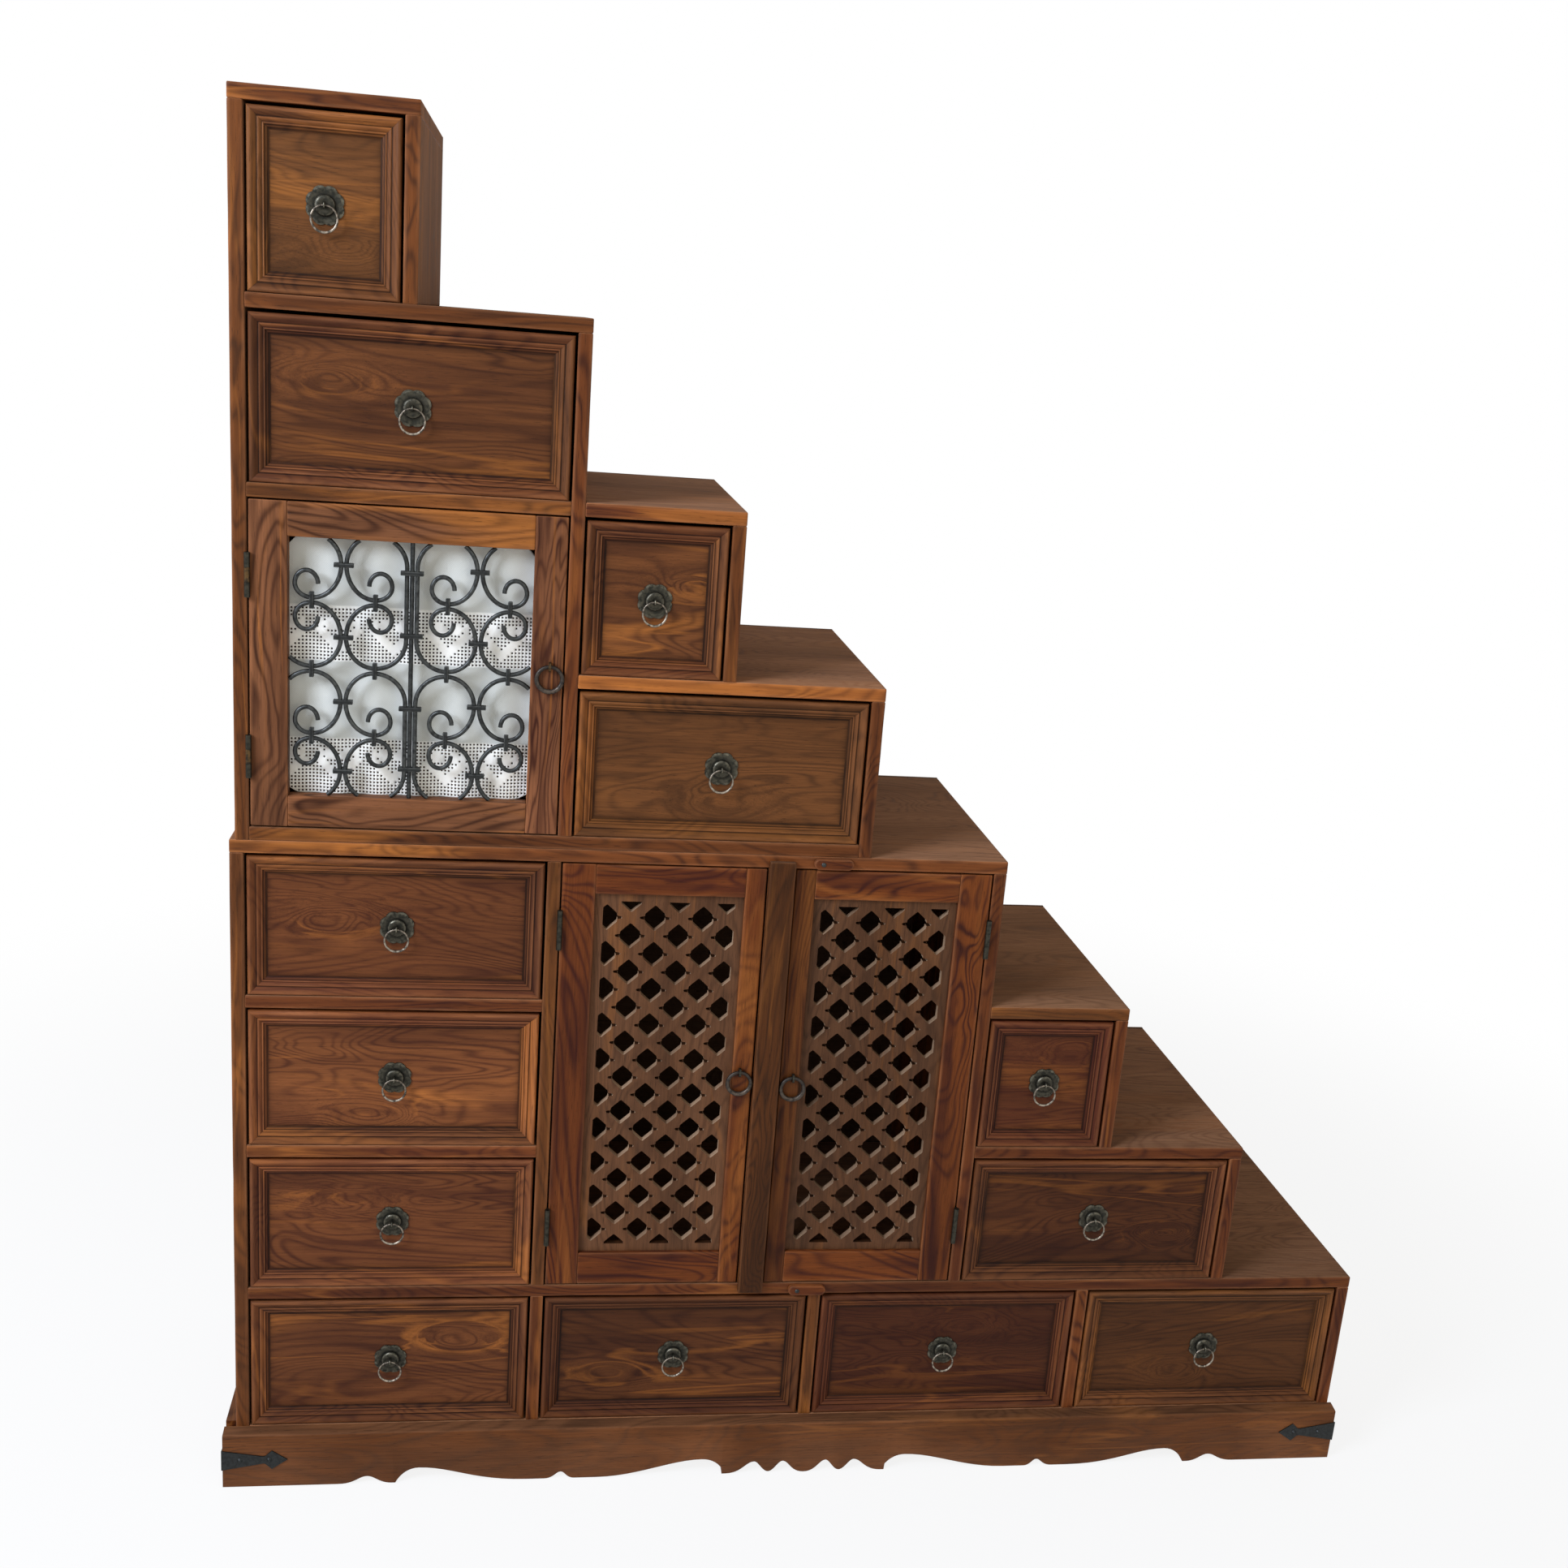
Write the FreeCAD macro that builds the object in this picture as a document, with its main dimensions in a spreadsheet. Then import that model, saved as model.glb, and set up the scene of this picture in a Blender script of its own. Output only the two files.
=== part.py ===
import FreeCAD, Part
import math
import os
import re

# The step chest: two stacked wooden sections whose tops climb in eight steps, thirteen framed
# drawers with ring pulls, a small door with an iron grille and a curtain, and two lattice doors.
# Places are written from the lower section's left face (x), from the case's front (y, going
# back) and from the floor (z), and are moved to the middle of the base at the end.

os.makedirs("parts", exist_ok=True)
document = FreeCAD.newDocument("step_chest")

# Driving dimensions in millimetres, by their alias in the sheet
SIZES = {
    "board": (17, "thickness of the case boards"),
    "case_depth": (420, "both sections, front to back"),
    "back_board": (6, "thickness of the back boards"),
    "left_clear": (370, "clear width of the lower left column"),
    "cabinet_clear": (564, "clear width of the lattice cabinet"),
    "small_lower_clear": (178, "clear width of the third step's drawer"),
    "wide_lower_clear": (373, "clear width of the second step's drawer"),
    "bottom_second_clear": (366, "clear width of the bottom row's second drawer"),
    "bottom_third_clear": (372, "clear width of the bottom row's third drawer"),
    "bottom_fourth_clear": (380, "clear width of the bottom row's fourth drawer"),
    "upper_inset": (7, "upper section set in from the lower one's left face"),
    "upper_left_clear": (374, "clear width of the upper left column"),
    "top_clear": (174, "clear width of the top drawer"),
    "small_upper_clear": (178, "clear width of the sixth step's drawer"),
    "wide_upper_clear": (369, "clear width of the fifth step's drawer"),
    "first_clear": (194, "clear height of the bottom row"),
    "second_clear": (191, "clear height of the second level"),
    "third_clear": (191, "clear height of the third level"),
    "fourth_clear": (188, "clear height of the fourth level"),
    "fifth_clear": (190, "clear height of the fifth level"),
    "sixth_clear": (193, "clear height of the sixth level"),
    "seventh_clear": (195, "clear height of the seventh level"),
    "eighth_clear": (202, "clear height of the top level"),
    "plinth_height": (83, "floor to the top of the plinth"),
    "plinth_board": (30, "thickness of the plinth boards"),
    "plinth_projection": (18, "plinth in front of the case"),
    "plinth_overhang_left": (15, "plinth beyond the case on the left"),
    "plinth_overhang_right": (5, "plinth beyond the case on the right"),
    "ledge_drop": (3, "fall of the plinth's top towards its front edge"),
    "scallop_rise": (24.5, "height of the plinth's highest scallop"),
    "strap_length": (85, "iron strap from the plinth's corner to its tip"),
    "strap_width": (30, "iron strap at the corner"),
    "strap_thickness": (1.5, "iron strap"),
    "strap_height_left": (43, "left strap's centre above the floor"),
    "strap_height_right": (47, "right strap's centre above the floor"),
    "nail_radius": (3.5, "nail heads on the straps"),
    "nail_height": (2.5, "nail heads on the straps"),
    "drawer_side_gap": (3, "drawer front to the opening's sides"),
    "drawer_top_gap": (4, "drawer front to the opening's top"),
    "runner_gap": (0.3, "running clearance under a drawer"),
    "front_panel": (14, "thickness of a drawer's front panel"),
    "moulding_width": (25, "width of the frame on a drawer front"),
    "moulding_height": (9, "height of the frame above the panel"),
    "drawer_side": (12, "thickness of a drawer's sides and back"),
    "drawer_bottom": (6, "thickness of a drawer's bottom"),
    "bottom_lift": (8, "drawer's bottom above the lower edge of its sides"),
    "side_drop": (18, "drawer's sides below the top of its front"),
    "drawer_depth": (392, "drawer, front to back"),
    "plate_radius": (22, "pull's flower plate"),
    "plate_thickness": (1.5, "pull's flower plate"),
    "lobe_depth": (2.2, "hollows between the plate's petals"),
    "dome_radius": (12, "pull's domed boss"),
    "dome_height": (5, "pull's domed boss"),
    "eye_wire": (1.1, "half the thickness and width of the pull's eye"),
    "eye_clearance": (0.4, "between a ring and its eye"),
    "eye_sink": (1.1, "pull's eye let into its boss"),
    "ring_wire": (1.2, "radius of a pull ring's wire"),
    "ring_radius": (14.6, "pull ring's centre line"),
    "door_thickness": (20, "all three doors"),
    "door_gap": (2, "doors to their openings"),
    "hinge_stile": (42.5, "lattice doors' outer stiles"),
    "meeting_stile": (26.5, "lattice doors' inner stiles"),
    "lattice_top_rail": (39.5, "lattice doors' top rails"),
    "lattice_bottom_rail": (46.5, "lattice doors' bottom rails"),
    "lattice_recess": (6, "lattice behind the doors' front"),
    "lattice_thickness": (10, "lattice panels"),
    "lattice_border": (11, "plain edge round the lattice"),
    "lattice_pitch_across": (62, "between lattice holes in a row"),
    "lattice_pitch_up": (49.8, "between rows of lattice holes"),
    "hole_width": (38, "lattice hole, point to point"),
    "hole_height": (35, "lattice hole, top to bottom"),
    "strip_width": (34, "post between the lattice doors"),
    "strip_projection": (9, "post in front of the case"),
    "strip_overlap": (10, "post over the rails above and below"),
    "grille_hinge_stile": (44, "grille door's left stile"),
    "grille_meeting_stile": (39, "grille door's right stile"),
    "grille_top_rail": (41, "grille door's top rail"),
    "grille_bottom_rail": (39, "grille door's bottom rail"),
    "iron_bar": (5.6, "width and depth of the grille's iron bars"),
    "bar_gap": (0.4, "between neighbouring bars"),
    "grille_recess": (5, "bars behind the grille door's front"),
    "collar": (5.5, "width of the collars that hold the bars"),
    "collar_proud": (1.2, "collars beyond the bars, front and back"),
    "centre_collar_length": (27, "collars on the grille's centre bar"),
    "side_collar_length": (23, "collars between two columns of scrolls"),
    "joint_collar_length": (20, "collars between two curls"),
    "grille_overlap": (4, "scroll levels out from the quarters of the window"),
    "end_reach": (50, "scrolls' hidden ends from their widest place"),
    "column_inner": (42.5, "grille's centre to its inner columns"),
    "column_meet": (79.5, "grille's centre to where two columns meet"),
    "curl_rise": (19.75, "curl's middle above the scroll's joint"),
    "curl_width": (13.4, "half width of a curl"),
    "curl_height": (15.75, "half height of a curl"),
    "curl_offset": (6, "curl's middle from the joint, sideways"),
    "scroll_middle": (43.5, "widest place of a scroll above its joint"),
    "curtain_overlap": (10, "curtain beyond the window at the top and sides"),
    "curtain_lift": (4, "curtain's lower edge above the window's"),
    "curtain_thickness": (1.2, "curtain cloth"),
    "fold_depth": (5, "curtain folds at the foot, front to back"),
    "top_fold_depth": (3, "curtain folds at the top, front to back"),
    "fold_width": (52, "curtain folds, one wave"),
    "cloth_gap": (0.3, "curtain behind the door"),
    "hinge_inset": (90, "hinge's middle to the opening's end"),
    "hinge_length": (53, "hinge knuckles, end to end"),
    "knuckle_radius": (3.5, "hinge knuckles"),
    "pin_radius": (1.5, "hinge pins"),
    "pin_clearance": (0.1, "hinge pins in their knuckles"),
    "leaf_thickness": (0.8, "hinge leaves"),
    "leaf_depth": (15, "hinge leaves behind the front"),
    "knuckle_gap": (0.3, "knuckles to wood and to each other"),
    "door_ring_radius": (15.5, "door ring's centre line"),
    "door_ring_wire": (3.0, "radius of a door ring's bar"),
    "staple_wire": (1.4, "half the thickness and width of a door ring's staple"),
    "door_ring_gap": (1.0, "door rings in front of the doors"),
    "post_ring_gap": (0.6, "door rings to the side of the post"),
    "grille_ring_inset": (16, "grille door's ring to the door's edge"),
    "grille_ring_rise": (16.5, "grille door's staple above its middle"),
    "left_ring_rise": (17, "left lattice door's staple above its middle"),
    "right_ring_rise": (9.5, "right lattice door's staple above its middle"),
    "button_length": (52, "turn buttons"),
    "button_width": (15, "turn buttons"),
    "button_thickness": (7, "turn buttons"),
    "button_end": (12, "turn button's screw to its near end"),
    "button_screw_radius": (3.2, "turn button's screw head"),
    "button_screw_height": (1.5, "turn button's screw head"),
    "top_button_offset": (52.5, "top turn button's screw right of the post's middle"),
    "bottom_button_offset": (66, "bottom turn button's screw right of the post's middle"),
    "cut_overrun": (20, "tools beyond what they cut"),
}

# Places and sizes that follow from the ones above
PLACES = {
    "inner_depth": "case_depth - back_board",
    "lower_top_width": "3 * board + left_clear + cabinet_clear",
    "third_width": "lower_top_width + small_lower_clear + board",
    "second_width": "lower_top_width + wide_lower_clear + board",
    "case_width": "5 * board + left_clear + bottom_second_clear + bottom_third_clear + bottom_fourth_clear",
    "cabinet_left": "2 * board + left_clear",
    "bottom_third_left": "cabinet_left + bottom_second_clear + board",
    "bottom_fourth_left": "bottom_third_left + bottom_third_clear + board",
    "upper_left": "upper_inset + board",
    "upper_middle": "upper_left + upper_left_clear + board",
    "top_right": "upper_left + top_clear + board",
    "seventh_right": "upper_middle",
    "sixth_right": "upper_middle + small_upper_clear + board",
    "fifth_right": "upper_middle + wide_upper_clear + board",
    "case_foot": "plinth_height - board",
    "first_floor": "plinth_height",
    "second_floor": "first_floor + first_clear + board",
    "third_floor": "second_floor + second_clear + board",
    "fourth_floor": "third_floor + third_clear + board",
    "lower_top": "fourth_floor + fourth_clear + board",
    "fifth_floor": "lower_top + board",
    "sixth_floor": "fifth_floor + fifth_clear + board",
    "seventh_floor": "sixth_floor + sixth_clear + board",
    "eighth_floor": "seventh_floor + seventh_clear + board",
    "total_height": "eighth_floor + eighth_clear + board",
    "cabinet_height": "lower_top - board - second_floor",
    "grille_clear_height": "seventh_floor - board - fifth_floor",
    "post_middle": "cabinet_left + cabinet_clear / 2",
    "post_left": "post_middle - strip_width / 2",
    "post_right": "post_middle + strip_width / 2",
    "lattice_door_width": "post_left - cabinet_left - 2 * door_gap",
    "lattice_width": "lattice_door_width - hinge_stile - meeting_stile",
    "lattice_door_height": "cabinet_height - 2 * door_gap",
    "lattice_height": "lattice_door_height - lattice_top_rail - lattice_bottom_rail",
    "window_width": "upper_left_clear - 2 * door_gap - grille_hinge_stile - grille_meeting_stile",
    "window_height": "grille_clear_height - 2 * door_gap - grille_top_rail - grille_bottom_rail",
    "window_left": "upper_left + door_gap + grille_hinge_stile",
    "window_foot": "fifth_floor + door_gap + grille_bottom_rail",
    "front_reach": "plinth_projection + strap_thickness + nail_height",
    "shift_across": "(plinth_overhang_left - case_width - plinth_overhang_right) / 2",
    "shift_back": "(front_reach - case_depth) / 2",
    "eye_radius": "ring_wire + eye_clearance + eye_wire",
    "eye_reach": "plate_thickness + dome_height + eye_radius + eye_wire - eye_sink",
    "staple_radius": "door_ring_wire + eye_clearance + staple_wire",
    "staple_reach": "door_ring_wire + door_ring_gap",
    "hinge_reach": "knuckle_radius + knuckle_gap",
}

# Each drawer: its name, then its opening's left side, foot, clear width and clear height
DRAWERS = (
    ("level_8", "upper_left", "eighth_floor", "top_clear", "eighth_clear"),
    ("level_7", "upper_left", "seventh_floor", "upper_left_clear", "seventh_clear"),
    ("level_6", "upper_middle", "sixth_floor", "small_upper_clear", "sixth_clear"),
    ("level_5", "upper_middle", "fifth_floor", "wide_upper_clear", "fifth_clear"),
    ("level_4_left", "board", "fourth_floor", "left_clear", "fourth_clear"),
    ("level_3_left", "board", "third_floor", "left_clear", "third_clear"),
    ("level_2_left", "board", "second_floor", "left_clear", "second_clear"),
    ("level_3_right", "lower_top_width", "third_floor", "small_lower_clear", "third_clear"),
    ("level_2_right", "lower_top_width", "second_floor", "wide_lower_clear", "second_clear"),
    ("level_1_first", "board", "first_floor", "left_clear", "first_clear"),
    ("level_1_second", "cabinet_left", "first_floor", "bottom_second_clear", "first_clear"),
    ("level_1_third", "bottom_third_left", "first_floor", "bottom_third_clear", "first_clear"),
    ("level_1_fourth", "bottom_fourth_left", "first_floor", "bottom_fourth_clear", "first_clear"),
)

# Drawer frame in section: share of its width from the outer edge, share of its height
MOULDING_SHARES = (
    (0, 0), (0, 1), (0.26, 1), (0.34, 0.8), (0.6, 0.7), (0.68, 0.46), (0.9, 0.34), (1, 0.12), (1, 0),
)

# Plinth's lower edge from its middle outwards: share of half its length, share of the scallop's
# rise, and how far the curve runs level before and after the point, as shares of each stretch
SCALLOP_SHARES = (
    (0, 0, 0, 0.6),
    (0.039, 0.76, 0.3, 0.3),
    (0.064, 0.08, 0.4, 0.4),
    (0.09, 0.76, 0.3, 0.3),
    (0.141, 0, 0.6, 0),
    (0.147, 0, 0, 0),
    (0.148, 0.41, 0, 0.05),
    (0.184, 1, 0.7, 0.3),
    (0.369, 0, 0.4, 0),
    (0.407, 0, 0, 0.6),
    (0.431, 0.43, 0.3, 0.3),
    (0.46, 0, 0.6, 0),
    (0.49, 0, 0, 0.5),
    (0.674, 0.94, 0.3, 0.7),
    (0.7135, 0, 0, 0),
    (0.72, 0, 0, 0.5),
    (0.761, 0.47, 0.3, 0.3),
    (0.81, 0, 0.6, 0),
)

# Iron strap's outline from the corner: share of its length, share of its half width
STRAP_SHARES = ((0, 1), (0.62, 0.36), (0.66, 0.4), (0.76, 0.95), (1, 0))
NAIL_SHARES = (0.27, 0.72)

# Lattice hole from its right point round one quarter to its top: shares of its half sizes
HOLE_SHARES = ((1, 0), (0.72, 0.13), (0.64, 0.36), (0.36, 0.66), (0.14, 0.78), (0, 1))

# Lattice: hole rows, holes in a row and the first hole's place as a share of the pitch
LATTICE_ROWS = 10
LATTICE_COLUMNS = 3
FIRST_HOLE_SHARE = 0.26

PETALS = 8
GRILLE_LEVELS = 2
HINGE_KNUCKLES = 3


def bound(expression):
    """The expression with each name led by the object that holds it."""
    def holder(found):
        word = found.group(0)
        if word in SIZES:
            return "Sizes." + word
        if word in PLACES:
            return "Places." + word
        raise ValueError("no size is called " + word)
    return re.sub(r"[a-z][a-z_]*", holder, expression)


def make_sheet():
    """The spreadsheet of driving dimensions."""
    sheet = document.addObject("Spreadsheet::Sheet", "Sizes")
    for row, (alias, (value, meaning)) in enumerate(SIZES.items(), start=1):
        sheet.set("A%d" % row, meaning)
        sheet.set("B%d" % row, str(value))
        sheet.setAlias("B%d" % row, alias)
    document.recompute()
    return sheet


def make_places():
    """The places worked out from the driving dimensions, each bound to its formula."""
    places = document.addObject("App::VarSet", "Places")
    for name, formula in PLACES.items():
        places.addProperty("App::PropertyFloat", name, "Places", formula)
        places.setExpression(name, bound(formula))
    document.recompute()
    return places


sheet = make_sheet()
places = make_places()
nodes = []
point = FreeCAD.Vector


def size(name):
    """The present value of a driving dimension or of a place."""
    holder = sheet if name in SIZES else places
    return float(getattr(holder, name))


def place(item, across, back, up):
    """Binds an object's corner to formulas, moved to the middle of the base."""
    item.setExpression("Placement.Base.x", bound("%s + shift_across" % across))
    item.setExpression("Placement.Base.y", bound("%s + shift_back" % back))
    item.setExpression("Placement.Base.z", bound(up))


def block(name, across, back, up):
    """A board from its low and high formulas along each axis."""
    board = document.addObject("Part::Box", name)
    for side, (low, high) in (("Length", across), ("Width", back), ("Height", up)):
        board.setExpression(side, bound("(%s) - (%s)" % (high, low)))
    place(board, across[0], back[0], up[0])
    return board


def shaped(name, shape):
    """A solid worked out here, set in the case's own frame."""
    item = document.addObject("Part::Feature", name)
    item.Shape = shape
    shift = FreeCAD.Placement(point(size("shift_across"), size("shift_back"), 0), FreeCAD.Rotation())
    item.Placement = shift.multiply(item.Placement)
    return item


def gather(label, members):
    """One node of the finished part from its separate solids."""
    node = document.addObject("Part::Compound", label)
    node.Links = members
    node.Label = label
    nodes.append(node)
    return node


def alone(label, item):
    """One node of the finished part from a single object."""
    item.Label = label
    nodes.append(item)
    return item


def panel_boards(prefix, boards, depth):
    """Boards given by name and by their formulas across and up, all of one depth."""
    return [block(prefix + name, across, depth, up) for name, across, up in boards]


def make_lower_case():
    boards = (
        ("bottom", ("board", "case_width - board"), ("case_foot", "first_floor")),
        ("left_side", ("0", "board"), ("case_foot", "lower_top - board")),
        ("right_side", ("case_width - board", "case_width"), ("case_foot", "second_floor - board")),
        ("partition_first", ("cabinet_left - board", "cabinet_left"),
         ("first_floor", "second_floor - board")),
        ("partition_second", ("bottom_third_left - board", "bottom_third_left"),
         ("first_floor", "second_floor - board")),
        ("partition_third", ("bottom_fourth_left - board", "bottom_fourth_left"),
         ("first_floor", "second_floor - board")),
        ("first_top", ("board", "case_width"), ("second_floor - board", "second_floor")),
        ("cabinet_left_side", ("cabinet_left - board", "cabinet_left"),
         ("second_floor", "lower_top - board")),
        ("cabinet_right_side", ("lower_top_width - board", "lower_top_width"),
         ("second_floor", "lower_top - board")),
        ("left_shelf_low", ("board", "cabinet_left - board"), ("third_floor - board", "third_floor")),
        ("left_shelf_high", ("board", "cabinet_left - board"), ("fourth_floor - board", "fourth_floor")),
        ("second_side", ("second_width - board", "second_width"), ("second_floor", "third_floor - board")),
        ("second_top", ("lower_top_width", "second_width"), ("third_floor - board", "third_floor")),
        ("third_side", ("third_width - board", "third_width"), ("third_floor", "fourth_floor - board")),
        ("third_top", ("lower_top_width", "third_width"), ("fourth_floor - board", "fourth_floor")),
        ("top", ("0", "lower_top_width"), ("lower_top - board", "lower_top")),
    )
    members = panel_boards("lower_", boards, ("0", "inner_depth"))
    members.append(block("centre_post", ("post_left", "post_right"), ("0", "door_thickness"),
                         ("second_floor", "lower_top - board")))
    members.append(block("centre_strip", ("post_left", "post_right"), ("-strip_projection", "0"),
                         ("second_floor - strip_overlap", "lower_top - board + strip_overlap")))
    gather("lower_case", members)


def make_upper_case():
    boards = (
        ("left_side", ("upper_inset", "upper_left"), ("lower_top", "total_height - board")),
        ("bottom", ("upper_left", "fifth_right - board"), ("lower_top", "fifth_floor")),
        ("middle_side", ("upper_middle - board", "upper_middle"),
         ("fifth_floor", "eighth_floor - board")),
        ("fifth_side", ("fifth_right - board", "fifth_right"), ("lower_top", "sixth_floor - board")),
        ("fifth_top", ("upper_middle", "fifth_right"), ("sixth_floor - board", "sixth_floor")),
        ("sixth_side", ("sixth_right - board", "sixth_right"), ("sixth_floor", "seventh_floor - board")),
        ("sixth_top", ("upper_middle", "sixth_right"), ("seventh_floor - board", "seventh_floor")),
        ("left_shelf", ("upper_left", "upper_middle - board"), ("seventh_floor - board", "seventh_floor")),
        ("seventh_top", ("upper_left", "seventh_right"), ("eighth_floor - board", "eighth_floor")),
        ("eighth_side", ("top_right - board", "top_right"), ("eighth_floor", "total_height - board")),
        ("top", ("upper_inset", "top_right"), ("total_height - board", "total_height")),
    )
    gather("upper_case", panel_boards("upper_", boards, ("0", "inner_depth")))


def make_back_boards():
    boards = (
        ("first", ("0", "case_width"), ("case_foot", "second_floor")),
        ("second", ("0", "second_width"), ("second_floor", "third_floor")),
        ("third", ("0", "third_width"), ("third_floor", "fourth_floor")),
        ("fourth", ("0", "lower_top_width"), ("fourth_floor", "lower_top")),
        ("fifth", ("upper_inset", "fifth_right"), ("lower_top", "sixth_floor")),
        ("sixth", ("upper_inset", "sixth_right"), ("sixth_floor", "seventh_floor")),
        ("seventh", ("upper_inset", "seventh_right"), ("seventh_floor", "eighth_floor")),
        ("eighth", ("upper_inset", "top_right"), ("eighth_floor", "total_height")),
    )
    gather("back_boards", panel_boards("back_", boards, ("inner_depth", "case_depth")))


def level_curve(start, end, run_after, run_before):
    """A cubic from one point of an outline to the next that leaves and arrives level."""
    if start.z == end.z:
        return Part.LineSegment(start, end).toShape()
    if run_after == 0 and run_before == 0:
        return Part.LineSegment(start, end).toShape()
    run = end.x - start.x
    curve = Part.BezierCurve()
    curve.setPoles([start, start + point(run * run_after, 0, 0),
                    end - point(run * run_before, 0, 0), end])
    return curve.toShape()


def scalloped_front():
    """The plinth's front board: a rebated board whose lower edge is scalloped both ways."""
    low, high = -size("plinth_overhang_left"), size("case_width") + size("plinth_overhang_right")
    middle, half = (low + high) / 2, (high - low) / 2
    rise, front = size("scallop_rise"), -size("plinth_projection")
    row = [(middle + side * share * half, height * rise, before, after)
           for side in (-1, 1) for share, height, before, after in SCALLOP_SHARES]
    left = [(x, z, after, before) for x, z, before, after in reversed(row[:len(SCALLOP_SHARES)])]
    row = left + row[len(SCALLOP_SHARES) + 1:]
    edges = []
    for (x, z, _, after), (next_x, next_z, before, _) in zip(row, row[1:]):
        edges.append(level_curve(point(x, front, z), point(next_x, front, next_z), after, before))
    top = size("plinth_height")
    corners = [point(row[-1][0], front, 0), point(high, front, 0), point(high, front, top),
               point(low, front, top), point(low, front, 0), point(row[0][0], front, 0)]
    edges += [Part.LineSegment(a, b).toShape() for a, b in zip(corners, corners[1:])]
    face = Part.Face(Part.Wire(Part.__sortEdges__(edges)))
    board = face.extrude(point(0, size("plinth_board"), 0))
    length, over = high - low, size("cut_overrun")
    rebate = Part.makeBox(length + 2 * over, size("plinth_board") + over, size("board") + over,
                          point(low - over, 0, size("case_foot")))
    ledge = Part.makePolygon([point(low - over, 0, top), point(low - over, front - over, top),
                              point(low - over, front - over, ledge_height(over)), point(low - over, 0, top)])
    slope = Part.Face(ledge).extrude(point(length + 2 * over, 0, 0))
    return board.cut(rebate).cut(slope)


def ledge_height(over):
    """Height of the ledge's slope, carried on past the front edge by the overrun."""
    fall = size("ledge_drop") / size("plinth_projection")
    return size("plinth_height") - fall * (size("plinth_projection") + over)


def plinth_side(outer, inner, rebate_from, rebate_to):
    """One of the plinth's side boards, rebated for the case's foot."""
    start = size("plinth_board") - size("plinth_projection")
    depth = size("case_depth") - start
    board = Part.makeBox(abs(inner - outer), depth, size("plinth_height"), point(min(inner, outer), start, 0))
    over = size("cut_overrun")
    rebate = Part.makeBox(abs(rebate_to - rebate_from), depth + 2 * over, size("board") + over,
                          point(min(rebate_from, rebate_to), start - over, size("case_foot")))
    return board.cut(rebate)


def make_plinth():
    low, high = -size("plinth_overhang_left"), size("case_width") + size("plinth_overhang_right")
    thick, over = size("plinth_board"), size("cut_overrun")
    left = plinth_side(low, low + thick, 0, thick + over)
    right = plinth_side(high, high - thick, size("case_width"), size("case_width") - thick - over)
    rear = block("plinth_rear", ("plinth_board - plinth_overhang_left",
                                 "case_width + plinth_overhang_right - plinth_board"),
                 ("case_depth - plinth_board", "case_depth"), ("0", "case_foot"))
    gather("plinth", [shaped("plinth_front", scalloped_front()), shaped("plinth_left", left),
                      shaped("plinth_right", right), rear])


def strap_leg(height):
    """A spear-shaped leg lying in the plane across and up, with its nails, from the corner."""
    length, half, thick = size("strap_length"), size("strap_width") / 2, size("strap_thickness")
    top = [(share * length, part * half) for share, part in STRAP_SHARES]
    top[0] = (-thick, half)
    outline = top + [(x, -z) for x, z in reversed(top[:-1])]
    corners = [point(x, 0, height + z) for x, z in outline]
    leg = Part.Face(Part.makePolygon(corners + corners[:1])).extrude(point(0, -thick, 0))
    for share in NAIL_SHARES:
        nail = Part.makeCone(size("nail_radius"), size("nail_radius") / 2, size("nail_height"),
                             point(share * length, -thick, height), point(0, -1, 0))
        leg = leg.fuse(nail)
    return leg


def corner_strap(corner, height, side):
    """A strap bent round one corner of the plinth: side is 1 on the left, -1 on the right."""
    front = strap_leg(height)
    flank = strap_leg(height)
    flank.rotate(point(0, 0, 0), point(0, 0, 1), 90)
    flank = flank.mirror(point(0, 0, 0), point(1, 0, 0))
    strap = front.fuse(flank).removeSplitter()
    if side < 0:
        strap = strap.mirror(point(0, 0, 0), point(1, 0, 0))
    strap.translate(point(corner, -size("plinth_projection"), 0))
    return strap


def make_straps():
    left = corner_strap(-size("plinth_overhang_left"), size("strap_height_left"), 1)
    right = corner_strap(size("case_width") + size("plinth_overhang_right"), size("strap_height_right"), -1)
    gather("plinth_straps", [shaped("strap_left", left), shaped("strap_right", right)])


def moulding_strip(corners, width, height, front):
    """One mitred strip of a drawer's frame, between two corners of the front."""
    (start_x, start_z, start_in_x, start_in_z), (end_x, end_z, end_in_x, end_in_z) = corners
    sections = []
    for x, z, in_x, in_z in ((start_x, start_z, start_in_x, start_in_z), (end_x, end_z, end_in_x, end_in_z)):
        outline = [point(x + in_x * share * width, front - part * height, z + in_z * share * width)
                   for share, part in MOULDING_SHARES]
        sections.append(Part.makePolygon(outline + outline[:1]))
    return Part.makeLoft(sections, True, True)


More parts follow.
